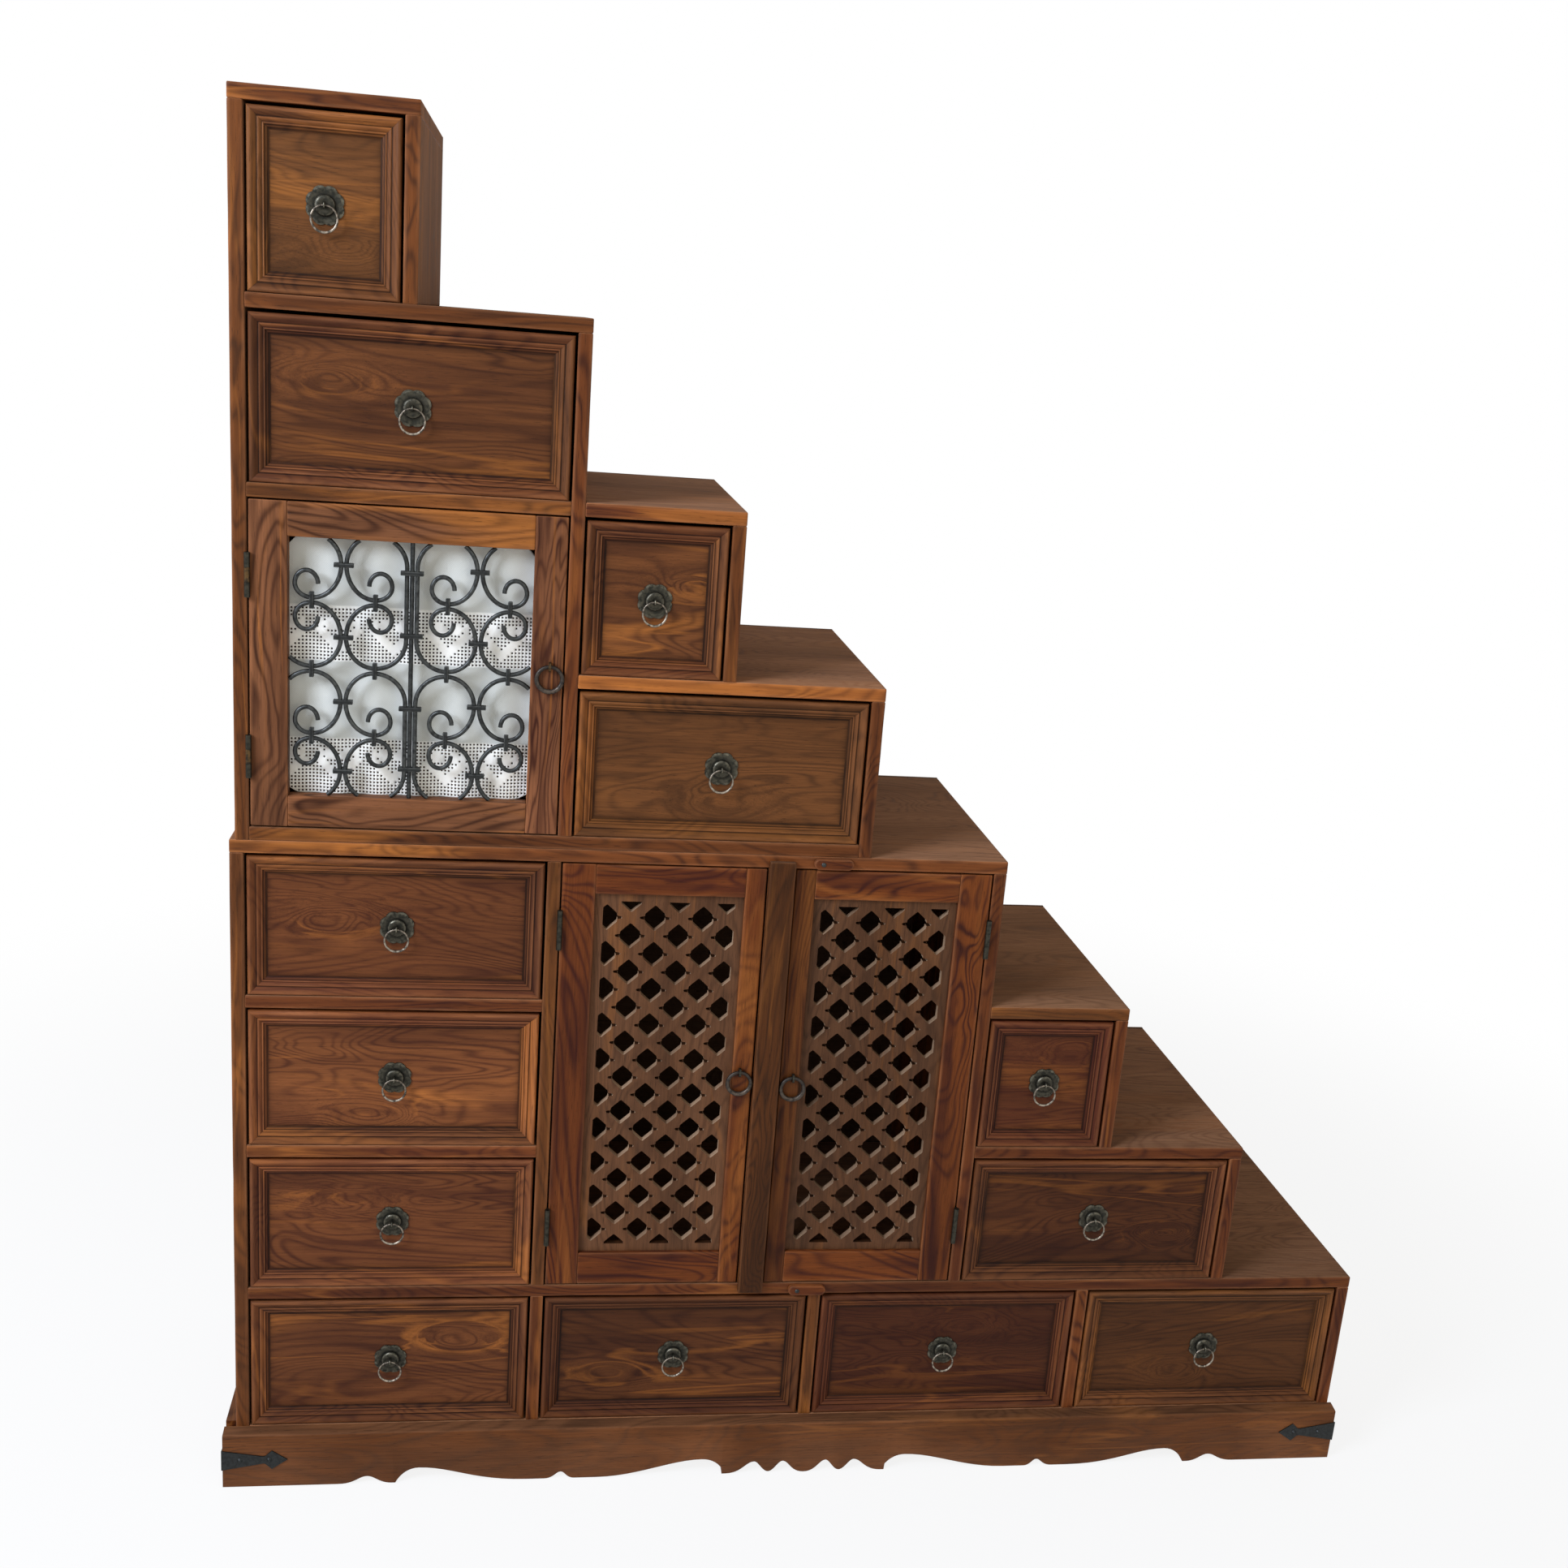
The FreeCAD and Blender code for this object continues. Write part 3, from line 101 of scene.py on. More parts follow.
# Plinth: its heights in millimetres, and its lower edge from the middle as shares of the half length and of
# the rise, with the level runs before and after each point
PLINTH_TOP, SEAT_TOP, SCALLOP_RISE = 83, 66, 24.5
SCALLOP_SHARES = np.array((
    (0, 0, 0, 0.6), (0.039, 0.76, 0.3, 0.3), (0.064, 0.08, 0.4, 0.4), (0.09, 0.76, 0.3, 0.3),
    (0.141, 0, 0.6, 0), (0.147, 0, 0, 0), (0.148, 0.41, 0, 0.05), (0.184, 1, 0.7, 0.3),
    (0.369, 0, 0.4, 0), (0.407, 0, 0, 0.6), (0.431, 0.43, 0.3, 0.3), (0.46, 0, 0.6, 0),
    (0.49, 0, 0, 0.5), (0.674, 0.94, 0.3, 0.7), (0.7135, 0, 0, 0), (0.72, 0, 0, 0.5),
    (0.761, 0.47, 0.3, 0.3), (0.81, 0, 0.6, 0),
))

# Lattice in millimetres: the hole's half sizes, the pitch across and up, the first hole's place in pitches,
# the solid border, the least width of a cut hole, and a quarter of the hole from its right point to its top
# in shares of the half sizes
HOLE_HALVES, COLUMN_PITCH, ROW_PITCH, FIRST_COLUMN = (18.8, 17.3), 62, 24.9, 0.26
LATTICE_ROWS, LATTICE_COLUMNS, LATTICE_BORDER, LEAST_HOLE = 21, 3, 11, 0.6
HOLE_SHARES = ((1.05, 0), (1.04, 0.05), (0.99, 0.09), (0.87, 0.11), (0.74, 0.13), (0.7, 0.16), (0.69, 0.31),
               (0.67, 0.355), (0.4, 0.635), (0.11, 0.92), (0.05, 0.97), (0, 1))

# Grille door in the case's millimetres, across and up: its window, the scrolls' columns and levels from the
# window's middle, the bars' depth and radius, the curtain, and the heights of its crochet bands
WINDOW_LOW, WINDOW_HIGH = np.array((70, 973)), np.array((357, 1289))
WINDOW_MIDDLE = (WINDOW_LOW + WINDOW_HIGH) / 2
INNER_COLUMN, OUTER_COLUMN, SCROLL_LEVEL = 42.5, 116.5, 83
BAR_DEPTH, BAR_RADIUS = 7.8, 2.75 * MM
CURTAIN_LOW, CURTAIN_HIGH = np.array((60, 971.5)), np.array((367, 1299))
CROCHET = ((1138, 1206), (970, 1043))


# Shapes

def at(*numbers):
    """A place in the case's own millimetres, as metres in the shared frame."""
    return np.array(numbers, float) * MM + CASE_CORNER


def places(x, y, z):
    """Points whose three coordinates are each spread over the shape of all."""
    return np.stack(np.broadcast_arrays(x, y, z), -1)


def in_case(points, depth):
    """Places given across and up in the case's millimetres, at a depth, as metres in the shared frame."""
    return places(points[..., 0], depth, points[..., 1]) * MM + CASE_CORNER


def turns(count):
    """Angles once round in even steps."""
    return np.linspace(0, 2 * math.pi, count, endpoint=False)


def corners(node):
    """Low and high corner of a node's box."""
    return [np.array(corner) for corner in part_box(node)]


def wander(along, spacing, rng):
    """A smooth random value from 0 to 1 at each place: random levels a spacing apart, eased between."""
    levels = rng.random(int(np.ptp(along) / spacing) + 3)
    spot = (along - along.min()) / spacing
    low = np.floor(spot).astype(int)
    part = spot - low
    part = part * part * (3 - 2 * part)
    return levels[low] * (1 - part) + levels[low + 1] * part


def read(elements, field, size, kind=float):
    """One field of a mesh's elements, a row for each."""
    values = np.empty(len(elements) * size, kind)
    elements.foreach_get(field, values)
    return values.reshape(-1, size)


def cad_boxes(node, count=None):
    """Low and high corners of a node's plain boards, all or the first few: boxes of twelve triangles."""
    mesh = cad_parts[node].data
    every = read(mesh.vertices, "co", 3)[read(mesh.loops, "vertex_index", 1, int)[:, 0]]
    each = 12 * 3
    boxes = every[:len(every) // each * each].reshape(-1, each, 3)[:count]
    return list(zip(boxes.min(1), boxes.max(1)))


def add_attributes(mesh, grain, finish, wear, wears="POINT"):
    """Writes the grain and finish of a mesh's points, and the wear, with painted light and shade, of its
    points or faces.
    """
    for label, kind, domain, values, field in (("grain", "FLOAT_VECTOR", "POINT", grain, "vector"),
                                               ("finish", "FLOAT_VECTOR", "POINT", finish, "vector"),
                                               ("wear", "FLOAT", wears, wear, "value")):
        values = np.ascontiguousarray(values, np.float32).ravel()
        mesh.attributes.new(label, kind, domain).data.foreach_set(field, values)


def finish_piece(name, mesh, body, slot, material, *nodes):
    """A mesh as a smooth piece with crisp corners, on its body and in place of its nodes."""
    mesh.shade_smooth()
    mesh.set_sharp_from_angle(angle=math.radians(SHARP_DEGREES))
    mesh.materials.append(material)
    piece = bpy.data.objects.new(name, mesh)
    bpy.context.scene.collection.objects.link(piece)
    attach(piece, body)
    if nodes:
        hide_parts(*nodes)
    return piece


class Stock:
    """Shapes gathered into one mesh, with the grain, finish, and wear with painted light and shade of every
    point, and random numbers that are the same each run."""

    def __init__(self, name=""):
        self.points, self.grain, self.finish, self.wear = [], [], [], []
        self.faces, self.count = [], 0
        self.rng = np.random.default_rng(zlib.crc32(name.encode()))

    def add(self, points, grain, finish, wear):
        """Keeps the points and their attributes, each spread over all the points."""
        flat = points.reshape(-1, 3)
        self.points.append(flat)
        self.grain.append(np.broadcast_to(grain, points.shape).reshape(-1, 3))
        self.finish.append(np.broadcast_to(np.asarray(finish, float), points.shape).reshape(-1, 3))
        self.wear.append(np.broadcast_to(wear, points.shape[:-1]).reshape(-1))
        self.count += len(flat)

    def carry(self, rings, grain=None, finish=(0, 0, 0), wear=0, closed=False):
        """Rings of points in order along a path: neighbours are joined by quads, and open ends are capped.
        Where the quads' triple products with the shape's middle add up to less than nought, every face is
        turned."""
        index = np.arange(rings[..., 0].size).reshape(rings.shape[:2])
        after = np.roll(index, -1, 0) if closed else index[1:]
        before = index if closed else index[:-1]
        quads = np.stack([before, np.roll(before, -1, 1), np.roll(after, -1, 1), after], -1).reshape(-1, 4)
        a, b, c, d = (rings.reshape(-1, 3) - rings.mean((0, 1)))[quads].transpose(1, 0, 2)
        way = 1 if (np.cross(a, c) * (d - b)).sum() > 0 else -1
        self.faces += (quads[:, ::way] + self.count).tolist()
        if not closed:
            self.faces += [(index[0][::-way] + self.count).tolist(), (index[-1][::way] + self.count).tolist()]
        self.add(rings, rings if grain is None else grain, finish, wear)

    def make(self, name, body, slot, material, *nodes):
        """The gathered mesh as one piece, which rides on its body in place of its nodes."""
        mesh = bpy.data.meshes.new(name)
        mesh.from_pydata(np.concatenate(self.points).tolist(), [], self.faces)
        add_attributes(mesh, *(np.concatenate(values) for values in (self.grain, self.finish, self.wear)))
        return finish_piece(name, mesh, body, slot, material, *nodes)


def rounded_section(half_wide, half_thick, radius, inset):
    """A rounded rectangle and its wear: in each corner four arc points with a flat point on both sides."""
    turn = turns(4)[:, None]
    angles = turn + np.radians([0, 30, 60, 90])
    middles = np.array([(1, 1), (-1, 1), (-1, -1), (1, -1)]) * (half_wide - radius, half_thick - radius)
    arc = middles[:, None] + radius * np.stack([np.cos(angles), np.sin(angles)], -1)
    before = arc[:, :1] - inset * np.stack([-np.sin(turn), np.cos(turn)], -1)
    after = arc[:, -1:] - inset * np.stack([np.cos(turn), np.sin(turn)], -1)
    return np.concatenate([before, arc, after], 1).reshape(-1, 2), np.tile([0, 0.7, 1, 1, 0.7, 0], 4)


def board(stock, low, high, axis, finish, radius=1.0, spacing=28):
    """A planed board: a rounded rectangle carried along its grain axis. Each corner is dented inwards by up
    to a third of a millimetre, by random levels eased along the length, and the ends are rounded over."""
    span, rng = high - low, stock.rng
    wide, thick = sorted((a for a in range(3) if a != axis), key=lambda a: -span[a])
    halves = span[[wide, thick]] / 2
    radius = min(radius * MM, halves[1] * 0.3)
    inset = min(3 * MM, (halves[1] - radius) * 0.6)
    length = span[axis]
    inner = np.linspace(radius + 3 * MM, length - radius - 3 * MM, max(2, int(length / (spacing * MM))))
    ease = np.array([0, 0, 0.29, 1]) * radius
    along = np.concatenate([ease, inner, length - ease[::-1]])
    shrink = np.array([radius + inset, radius, 0.29 * radius, 0])
    shrink = np.concatenate([shrink, np.zeros(len(inner)), shrink[::-1]])[:, None, None]
    section, worn = rounded_section(*halves, radius, inset)
    dents = np.stack([wander(along, 35 * MM, rng) ** 2 for _ in range(4)], 1).repeat(6, 1) * worn * 0.35 * MM
    spots = section * (1 - shrink / halves) - np.sign(section) * dents[..., None] * (shrink == 0)
    rings = np.empty(spots.shape[:2] + (3,))
    rings[..., axis] = (low[axis] + along)[:, None]
    rings[..., [wide, thick]] = low[[wide, thick]] + halves + spots
    worn = worn * (0.25 + 0.75 * np.stack([wander(along, 60 * MM, rng) for _ in range(4)], 1)).repeat(6, 1)
    worn[[0, -1]] = 0
    worn[[1, 2, -3, -2]] = 0.7
    grain = places(along[:, None], spots[..., 0], spots[..., 1]) + rng.random(3) * (3, 0.4, 0.4)
    stock.carry(rings, grain, finish, worn)


def longer_way(low, high):
    """The grain's axis in a board that stands or lies in a front: up or across, whichever is longer."""
    return 2 if high[2] - low[2] > high[0] - low[0] else 0


def panel(stock, low, high, finish, shift, knot):
    """A drawer's front panel facing -y, its back edges bevelled: a section of its height and thickness
    carried along x. The front is darkened close to the moulding, painted shade with some dirt, fading with
    the distance from the moulding, which covers a border all round, and the grain's depth swells in a bell
    round the knot, so that the growth lines close in ovals."""
    margin = np.array([0, 1, 1.08, 1.2, 1.36, 1.6, 1.95, 2.5]) * MOULDING_WIDTH

    def spread(span, count):
        """Places over a span: the margin at both ends and even steps between."""
        middle = np.linspace(margin[-1], span - margin[-1], count)
        return np.concatenate([margin[:-1], middle, span - margin[-2::-1]])

    bevel = 0.8 * MM
    down = spread(high[2] - low[2], 18)
    y = np.concatenate([np.full(len(down), low[1]), high[1] - bevel * np.array((1, 0, 0, 1))])
    z = np.concatenate([high[2] - down, [low[2], low[2] + bevel, high[2] - bevel, high[2]]])
    rings = places((low[0] + spread(high[0] - low[0], 34))[:, None], y, z)
    inside = np.minimum(rings - low, high - rings)[..., [0, 2]].min(-1) - MOULDING_WIDTH
    # Painted shade with some dirt: the front darkens close to the moulding
    painted_shade_and_dirt = -0.6 * np.exp(-np.maximum(inside, 0) / (3.5 * MM)) * (rings[..., 1] < low[1] + bevel)
    grain = (rings - (low + high) / 2)[..., [0, 2, 1]]
    from_knot = (grain[..., :2] - knot * (high - low)[[0, 2]] / 2) / (0.05, 0.022)
    grain[..., 2] += 0.05 * np.exp(-(from_knot ** 2).sum(-1))
    stock.carry(rings, grain + shift, finish, painted_shade_and_dirt * stock.rng.uniform(0.8, 1.1))


def moulding(stock, low, high, front, finish):
    """A drawer front's frame: the moulding's outline carried along each side, between two mitres where the
    run shortens by the outline's distance from the outer edge at each end."""
    share, rise, worn = MOULDING_SHARES.T
    inward, rng = share * MOULDING_WIDTH, stock.rng
    for side in range(4):
        long, across = (0, 1) if side % 2 == 0 else (1, 0)
        length = (high - low)[long]
        steps = np.linspace(0, 1, max(6, int(length / (26 * MM))))
        start = inward + MITRE_GAP
        run = start + (length - 2 * start) * steps[:, None]
        depth = rise * MOULDING_HEIGHT * (1 - 0.04 * wander(steps * length, 45 * MM, rng)[:, None])
        rings = np.empty(run.shape + (3,))
        rings[..., 2 * long] = low[long] + run
        rings[..., 2 * across] = high[across] - inward if side >= 2 else low[across] + inward
        rings[..., 1] = front + MOULDING_HEIGHT - depth
        wear = worn * (0.25 + 0.5 * wander(steps * length, 50 * MM, rng)[:, None])
        wear = np.where(worn < 0, worn, wear)
        grain = places(run, inward, depth) + rng.random(3) * 4
        tone_and_painted_light = np.array(finish) * (0.5, 1, 1)
        tone_and_painted_light += (rng.uniform(-0.3, 0.15), rng.uniform(-0.3, 0.35), rng.uniform(-0.1, 0.3))
        stock.carry(rings, grain, tone_and_painted_light, wear)


def tube(stock, path, radius, sides=10, closed=False, across=(0, 1, 0), wear=0.0):
    """A round bar along a path: at each place a circle square to the path. The across direction is kept
    in every circle."""
    ahead = np.roll(path, -1, 0) - np.roll(path, 1, 0) if closed else np.gradient(path, axis=0)
    ahead /= np.linalg.norm(ahead, axis=1)[:, None]
    across = np.broadcast_to(np.asarray(across, float), path.shape)
    side = np.cross(ahead, across)
    side /= np.linalg.norm(side, axis=1)[:, None]
    angles = turns(sides)[:, None]
    radius = np.broadcast_to(radius, len(path))[:, None, None]
    rings = path[:, None] + radius * (np.cos(angles) * side[:, None] + np.sin(angles) * across[:, None])
    stock.carry(rings, wear=wear, closed=closed)


def hanging_ring(node, name, slot, material, bar, thin, swell, power, wear, points, sides):
    """A ring in place of a node's: a round bar about a circle in the front's plane. The bar's radius grows
    from its thin top by a power of the share of the way down, and its wear by that share. In millimetres."""
    low, high = corners(node)
    radius = (high[2] - low[2]) / 2 - bar * MM
    around = turns(points)
    lower = (1 - np.cos(around)) / 2
    path = (low + high) / 2 + radius * places(np.sin(around), 0, np.cos(around))
    stock = Stock()
    tube(stock, path, (thin + swell * lower ** power) * MM, sides, True, wear=wear + 0.6 * lower[:, None])
    stock.make(name, node, slot, material, node)


def bezier(start, first, second, end, count):
    """Points of a cubic from its two ends and two handles: the cubic blend of the four."""
    t = np.linspace(0, 1, count)[:, None]
    start, first, second, end = (np.array(p, float) for p in (start, first, second, end))
    return (1 - t) ** 3 * start + 3 * t * (1 - t) ** 2 * first + 3 * t * t * (1 - t) * second + t ** 3 * end


# Materials

def linear(colour):
    """A colour written in 0 to 255 as the linear values that a shader takes."""
    return tuple(((c / 255 + 0.055) / 1.055) ** 2.4 if c > 10 else c / 3294.6 for c in colour) + (1,)


def hue(colour):
    """A property's colour, with the fourth value that a shader takes."""
    return tuple(colour) + (1,)


def add_node(tree, kind, sockets=None, **settings):
    """Adds a node, makes its settings, and fills its sockets with values or other nodes' outputs."""
    made = tree.nodes.new(kind)
    for label, value in settings.items():
        setattr(made, label, value)
    for label, value in (sockets or {}).items():
        if isinstance(value, bpy.types.NodeSocket):
            tree.links.new(value, made.inputs[label])
        else:
            made.inputs[label].default_value = value
    return made


def sums(tree, operation, first, second=0.0, third=0.0, clamp=False):
    """One step of arithmetic on up to three values."""
    sockets = {0: first, 1: second, 2: third}
    return add_node(tree, "ShaderNodeMath", sockets, operation=operation, use_clamp=clamp).outputs[0]


def product(tree, first, second, clamp=False):
    """Two values multiplied."""
    return sums(tree, "MULTIPLY", first, second, clamp=clamp)


def scaled(tree, value, factor, offset, clamp=False):
    """A value times a factor, plus an offset."""
    return sums(tree, "MULTIPLY_ADD", value, factor, offset, clamp)


def mixed(tree, share, first, second, blend="MIX"):
    """Two colours mixed by a share."""
    sockets = {0: share, 6: first, 7: second}
    return add_node(tree, "ShaderNodeMix", sockets, data_type="RGBA", blend_type=blend).outputs[2]


def shaded(tree, colour, shade):
    """A colour times a brightness."""
    grey = add_node(tree, "ShaderNodeCombineColor", {0: shade, 1: shade, 2: shade}).outputs[0]
    return mixed(tree, 1.0, colour, grey, "MULTIPLY")


def attribute(tree, label, output="Vector"):
    """The named attribute of the piece."""
    return add_node(tree, "ShaderNodeAttribute", attribute_name=label).outputs[output]


def separated(tree, vector):
    """A vector's three values."""
    return add_node(tree, "ShaderNodeSeparateXYZ", {0: vector}).outputs


def coordinates(tree, output="Object"):
    """The piece's own coordinates, or its normals."""
    return add_node(tree, "ShaderNodeTexCoord").outputs[output]


def noise(tree, vector, stretch=(1, 1, 1), detail=2.0, twist=0.0, scale=1.0):
    """Smooth noise on coordinates stretched by three factors."""
    spread = add_node(tree, "ShaderNodeMapping", {"Vector": vector, "Scale": stretch})
    sockets = {"Vector": spread.outputs[0], "Scale": scale, "Detail": detail, "Distortion": twist}
    return add_node(tree, "ShaderNodeTexNoise", sockets).outputs[0]


def band(tree, value, low, high):
    """A value eased from 0 at low to 1 at high."""
    sockets = {"Value": value, "From Min": low, "From Max": high}
    return add_node(tree, "ShaderNodeMapRange", sockets, interpolation_type="SMOOTHSTEP").outputs[0]


def empty_tree(owner):
    """The node tree of a material or world, emptied."""
    owner.use_nodes = True
    owner.node_tree.nodes.clear()
    return owner.node_tree


def new_material(name, **shader_values):
    """The tree and the shader of a new material."""
    tree = empty_tree(bpy.data.materials.new(name))
    shader = add_node(tree, "ShaderNodeBsdfPrincipled", shader_values)
    add_node(tree, "ShaderNodeOutputMaterial", {0: shader.outputs[0]})
    return tree, shader


def coat(tree, shader, colour, height, strength, distance, rough=None):
    """Joins a colour, a bump and, where it varies, a roughness to a shader."""
    tree.links.new(colour, shader.inputs["Base Color"])
    if rough:
        tree.links.new(rough, shader.inputs["Roughness"])
    bump = add_node(tree, "ShaderNodeBump", {"Height": height, "Strength": strength, "Distance": distance})
    tree.links.new(bump.outputs[0], shader.inputs["Normal"])


def wood_material(name, heart, dark, gold, closeness, dust_and_sheen=0.0, gloss=0.4, bold=0.4, golden=0.4,
                  rubbed=(180, 118, 76)):
    """Oiled wood along the grain attribute: wavy growth lines are the contours of one slow noise, with dark
    streaks, golden sapwood, fibres and pores. Corners are worn lighter, and the lattice's hole walls are
    painted pale as lit; grooves, recesses and slits are darkened with dirt and painted shade, and tops and
    right faces may take dust and a painted sheen."""
    tree, shader = new_material(name, **{"Specular IOR Level": 0.1})
    grain = attribute(tree, "grain")
    tone_and_painted_light, sapwood, redness = separated(tree, attribute(tree, "finish"))
    wear = attribute(tree, "wear", "Fac")
    slow = noise(tree, grain, (1.9, 8, 8), detail=2.5, twist=0.8)
    lines = scaled(tree, sums(tree, "SINE", product(tree, slow, 190 * closeness)), 0.5, 0.5)
    streak = noise(tree, grain, (2.0, 26, 26), detail=4.0, twist=0.6)
    patch = noise(tree, grain, (1.6, 8, 8), detail=3.0, twist=0.9)
    vein = noise(tree, grain, (2.0, 19, 19), twist=0.7)
    fibre = noise(tree, grain, (14, 460, 460))
    pores = noise(tree, grain, (55, 1300, 1300), detail=1.0)
    mottle = noise(tree, grain, (6, 18, 18), detail=3.0)
    broad = noise(tree, grain, (1.1, 6, 6), detail=1.5, twist=0.6)

    dark_share = band(tree, scaled(tree, mottle, 0.3, streak), 0.58, 0.8)
    colour = mixed(tree, product(tree, dark_share, bold), heart, dark)
    late = product(tree, sums(tree, "POWER", lines, 2.5), scaled(tree, mottle, 2.5 * bold, -0.1 * bold))
    colour = mixed(tree, late, colour, dark)
    gold_share = band(tree, sums(tree, "SUBTRACT", patch, scaled(tree, sapwood, -0.13, 0.62)), 0.0, 0.13)
    gold_share = product(tree, gold_share, scaled(tree, lines, -0.4 * golden, golden))
    ridge = band(tree, sums(tree, "ABSOLUTE", sums(tree, "SUBTRACT", vein, 0.5)), 0.035, 0.0)
    ridge = product(tree, ridge, band(tree, patch, 0.42, 0.62))
    gold_share = sums(tree, "MAXIMUM", gold_share, product(tree, ridge, 0.7 * golden))
    colour = mixed(tree, gold_share, colour, gold)
    red, olive = linear((104, 40, 30)), linear((104, 72, 34))
    colour = mixed(tree, product(tree, redness, 0.45, clamp=True), colour, red)
    colour = mixed(tree, product(tree, redness, -0.75, clamp=True), colour, olive)
    rough = scaled(tree, fibre, 0.2, gloss - 0.1)
    # Faces turned up or to the right are mixed toward a greyish tint and made rougher: dust, and a painted
    # sheen of grazing light
    if dust_and_sheen:
        facing = separated(tree, coordinates(tree, "Normal"))
        right, up = (band(tree, facing[axis], 0.6, 0.95) for axis in (0, 2))
        share = product(tree, scaled(tree, right, 0.75, up), scaled(tree, late, -0.5 * dust_and_sheen, dust_and_sheen))
        dust_and_sheen_tint = mixed(tree, streak, linear((158, 118, 88)), linear((122, 86, 62)))
        colour = mixed(tree, share, colour, dust_and_sheen_tint)
        rough = scaled(tree, share, 0.7, rough)
    pits = band(tree, pores, 0.36, 0.28)
    shade = product(tree, scaled(tree, fibre, 0.7, 0.65), scaled(tree, broad, 1.0, 0.5))
    # Values below nought darken the wood: dirt, and painted shade in grooves, recesses, slits and the chest's
    # inside
    painted_shade_and_dirt = sums(tree, "MINIMUM", wear, 0.0)
    for value, strength in ((tone_and_painted_light, 0.5), (pits, -0.45), (painted_shade_and_dirt, 0.75)):
        shade = product(tree, shade, scaled(tree, value, strength, 1.0))
    # Values above nought turn the colour toward the rubbed colour: wear on corners and beads, and painted
    # light on the lattice's hole walls
    worn = product(tree, sums(tree, "MAXIMUM", wear, 0.0), scaled(tree, mottle, 1.3, -0.1))
    colour = mixed(tree, product(tree, worn, 0.6, clamp=True), colour, linear(rubbed))
    height = scaled(tree, pits, -0.8, scaled(tree, lines, 0.2, fibre))
    rough = scaled(tree, mottle, 0.16, rough, clamp=True)
    coat(tree, shader, shaded(tree, colour, shade), height, 0.35, 0.4 * MM, rough)


def metal_material(name, base, tarnish, bright, metallic):
    """Aged metal: two tones of tarnish by noise, brighter where the wear and painted light attribute is high
    and near black where it is below nought, finely pitted.
    """
    tree, shader = new_material(name, Metallic=metallic)
    place = coordinates(tree)
    cloud = noise(tree, place, detail=4.0, twist=0.4, scale=220.0)
    pits = noise(tree, place, detail=3.0, scale=1320.0)
    wear = attribute(tree, "wear", "Fac")
    colour = mixed(tree, band(tree, cloud, 0.35, 0.68), base, tarnish)
    rub = product(tree, sums(tree, "MAXIMUM", wear, 0.0), band(tree, cloud, 0.7, 0.35), clamp=True)
    colour = mixed(tree, rub, colour, bright)
    colour = mixed(tree, product(tree, wear, -0.75, clamp=True), colour, (0.008, 0.008, 0.007, 1))
    coat(tree, shader, colour, scaled(tree, pits, 0.4, cloud), 0.3, 0.3 * MM, scaled(tree, cloud, 0.3, 0.27))


def linen_material(name, linen, thread):
    """Open linen with crochet bands by the grain attribute: metres across and up the cloth, and the band's
    share."""
    tree, shader = new_material(name, Roughness=0.85)
    across, up, crochet = separated(tree, attribute(tree, "grain"))
    wave = 2 * math.pi / (1.75 * MM)
    weave = product(tree, *(sums(tree, "SINE", product(tree, way, wave)) for way in (across, up)))
    cloud = noise(tree, coordinates(tree), detail=3.0, scale=14.0)
    plain = scaled(tree, crochet, -0.34, 0.34)
    shade = sums(tree, "SUBTRACT", 1.0, product(tree, plain, band(tree, weave, 0.0, 0.9)))
    # The cloud noise darkens the linen in soft blotches: painted shade standing in for the shade of folds,
    # with stains
    shade = product(tree, shade, scaled(tree, cloud, 0.3, 0.83))
    coat(tree, shader, shaded(tree, mixed(tree, crochet, linen, thread), shade), weave, 0.4, 0.3 * MM)
    return bpy.data.materials[name]


# What a user would change

def colour_property(label, meaning, shade):
    """A colour that a user may change, its default written in 0 to 255."""
    return bpy.props.FloatVectorProperty(name=label, description=meaning, default=linear(shade)[:3],
                                         subtype="COLOR", size=3, min=0, max=1)


class ChestWood(bpy.types.PropertyGroup):
    """Colours of the chest's wood."""
    case_heart: colour_property("Case", "Heartwood of both cases", (104, 56, 26))
    drawer_heart: colour_property("Drawers", "Heartwood of the drawer fronts", (99, 57, 30))
    door_heart: colour_property("Doors", "Heartwood of the lattice doors' frames", (118, 63, 24))
    grille_heart: colour_property("Grille door", "Heartwood of the grille door's frame", (124, 78, 50))
    lattice_heart: colour_property("Lattice", "Wood of the pierced panels", (104, 66, 43))
    plinth_heart: colour_property("Plinth", "Heartwood of the plinth", (88, 43, 14))
    back_heart: colour_property("Back", "Wood of the back boards", (140, 103, 77))
    streaks: colour_property("Streaks", "Dark streaks in the heartwood", (54, 26, 16))
    sapwood: colour_property("Sapwood", "Golden patches of sapwood", (166, 100, 44))
    figure: bpy.props.FloatProperty(name="Figure", description="How close the growth lines lie", default=1.0,
                                    min=0.2, max=3, subtype="FACTOR")


class ChestMetal(bpy.types.PropertyGroup):
    """Colours of the chest's metal."""
    bronze: colour_property("Bronze", "Patina of the pulls' plates and of most hinges", (60, 57, 48))
    iron: colour_property("Iron", "Blackened iron of the grille, screws and straps", (49, 51, 51))
    brass: colour_property("Brass", "Tarnished brass of the grille door's hinges", (92, 70, 42))


class ChestCloth(bpy.types.PropertyGroup):
    """The curtain behind the grille."""
    linen: colour_property("Linen", "Plain part of the curtain", (216, 217, 209))
    thread: colour_property("Crochet", "Crochet bands of the curtain", (252, 249, 240))
    thickness: bpy.props.FloatProperty(name="Thickness", description="Thickness of the cloth", default=0.0006,
                                       min=0.0002, max=0.002, unit="LENGTH")


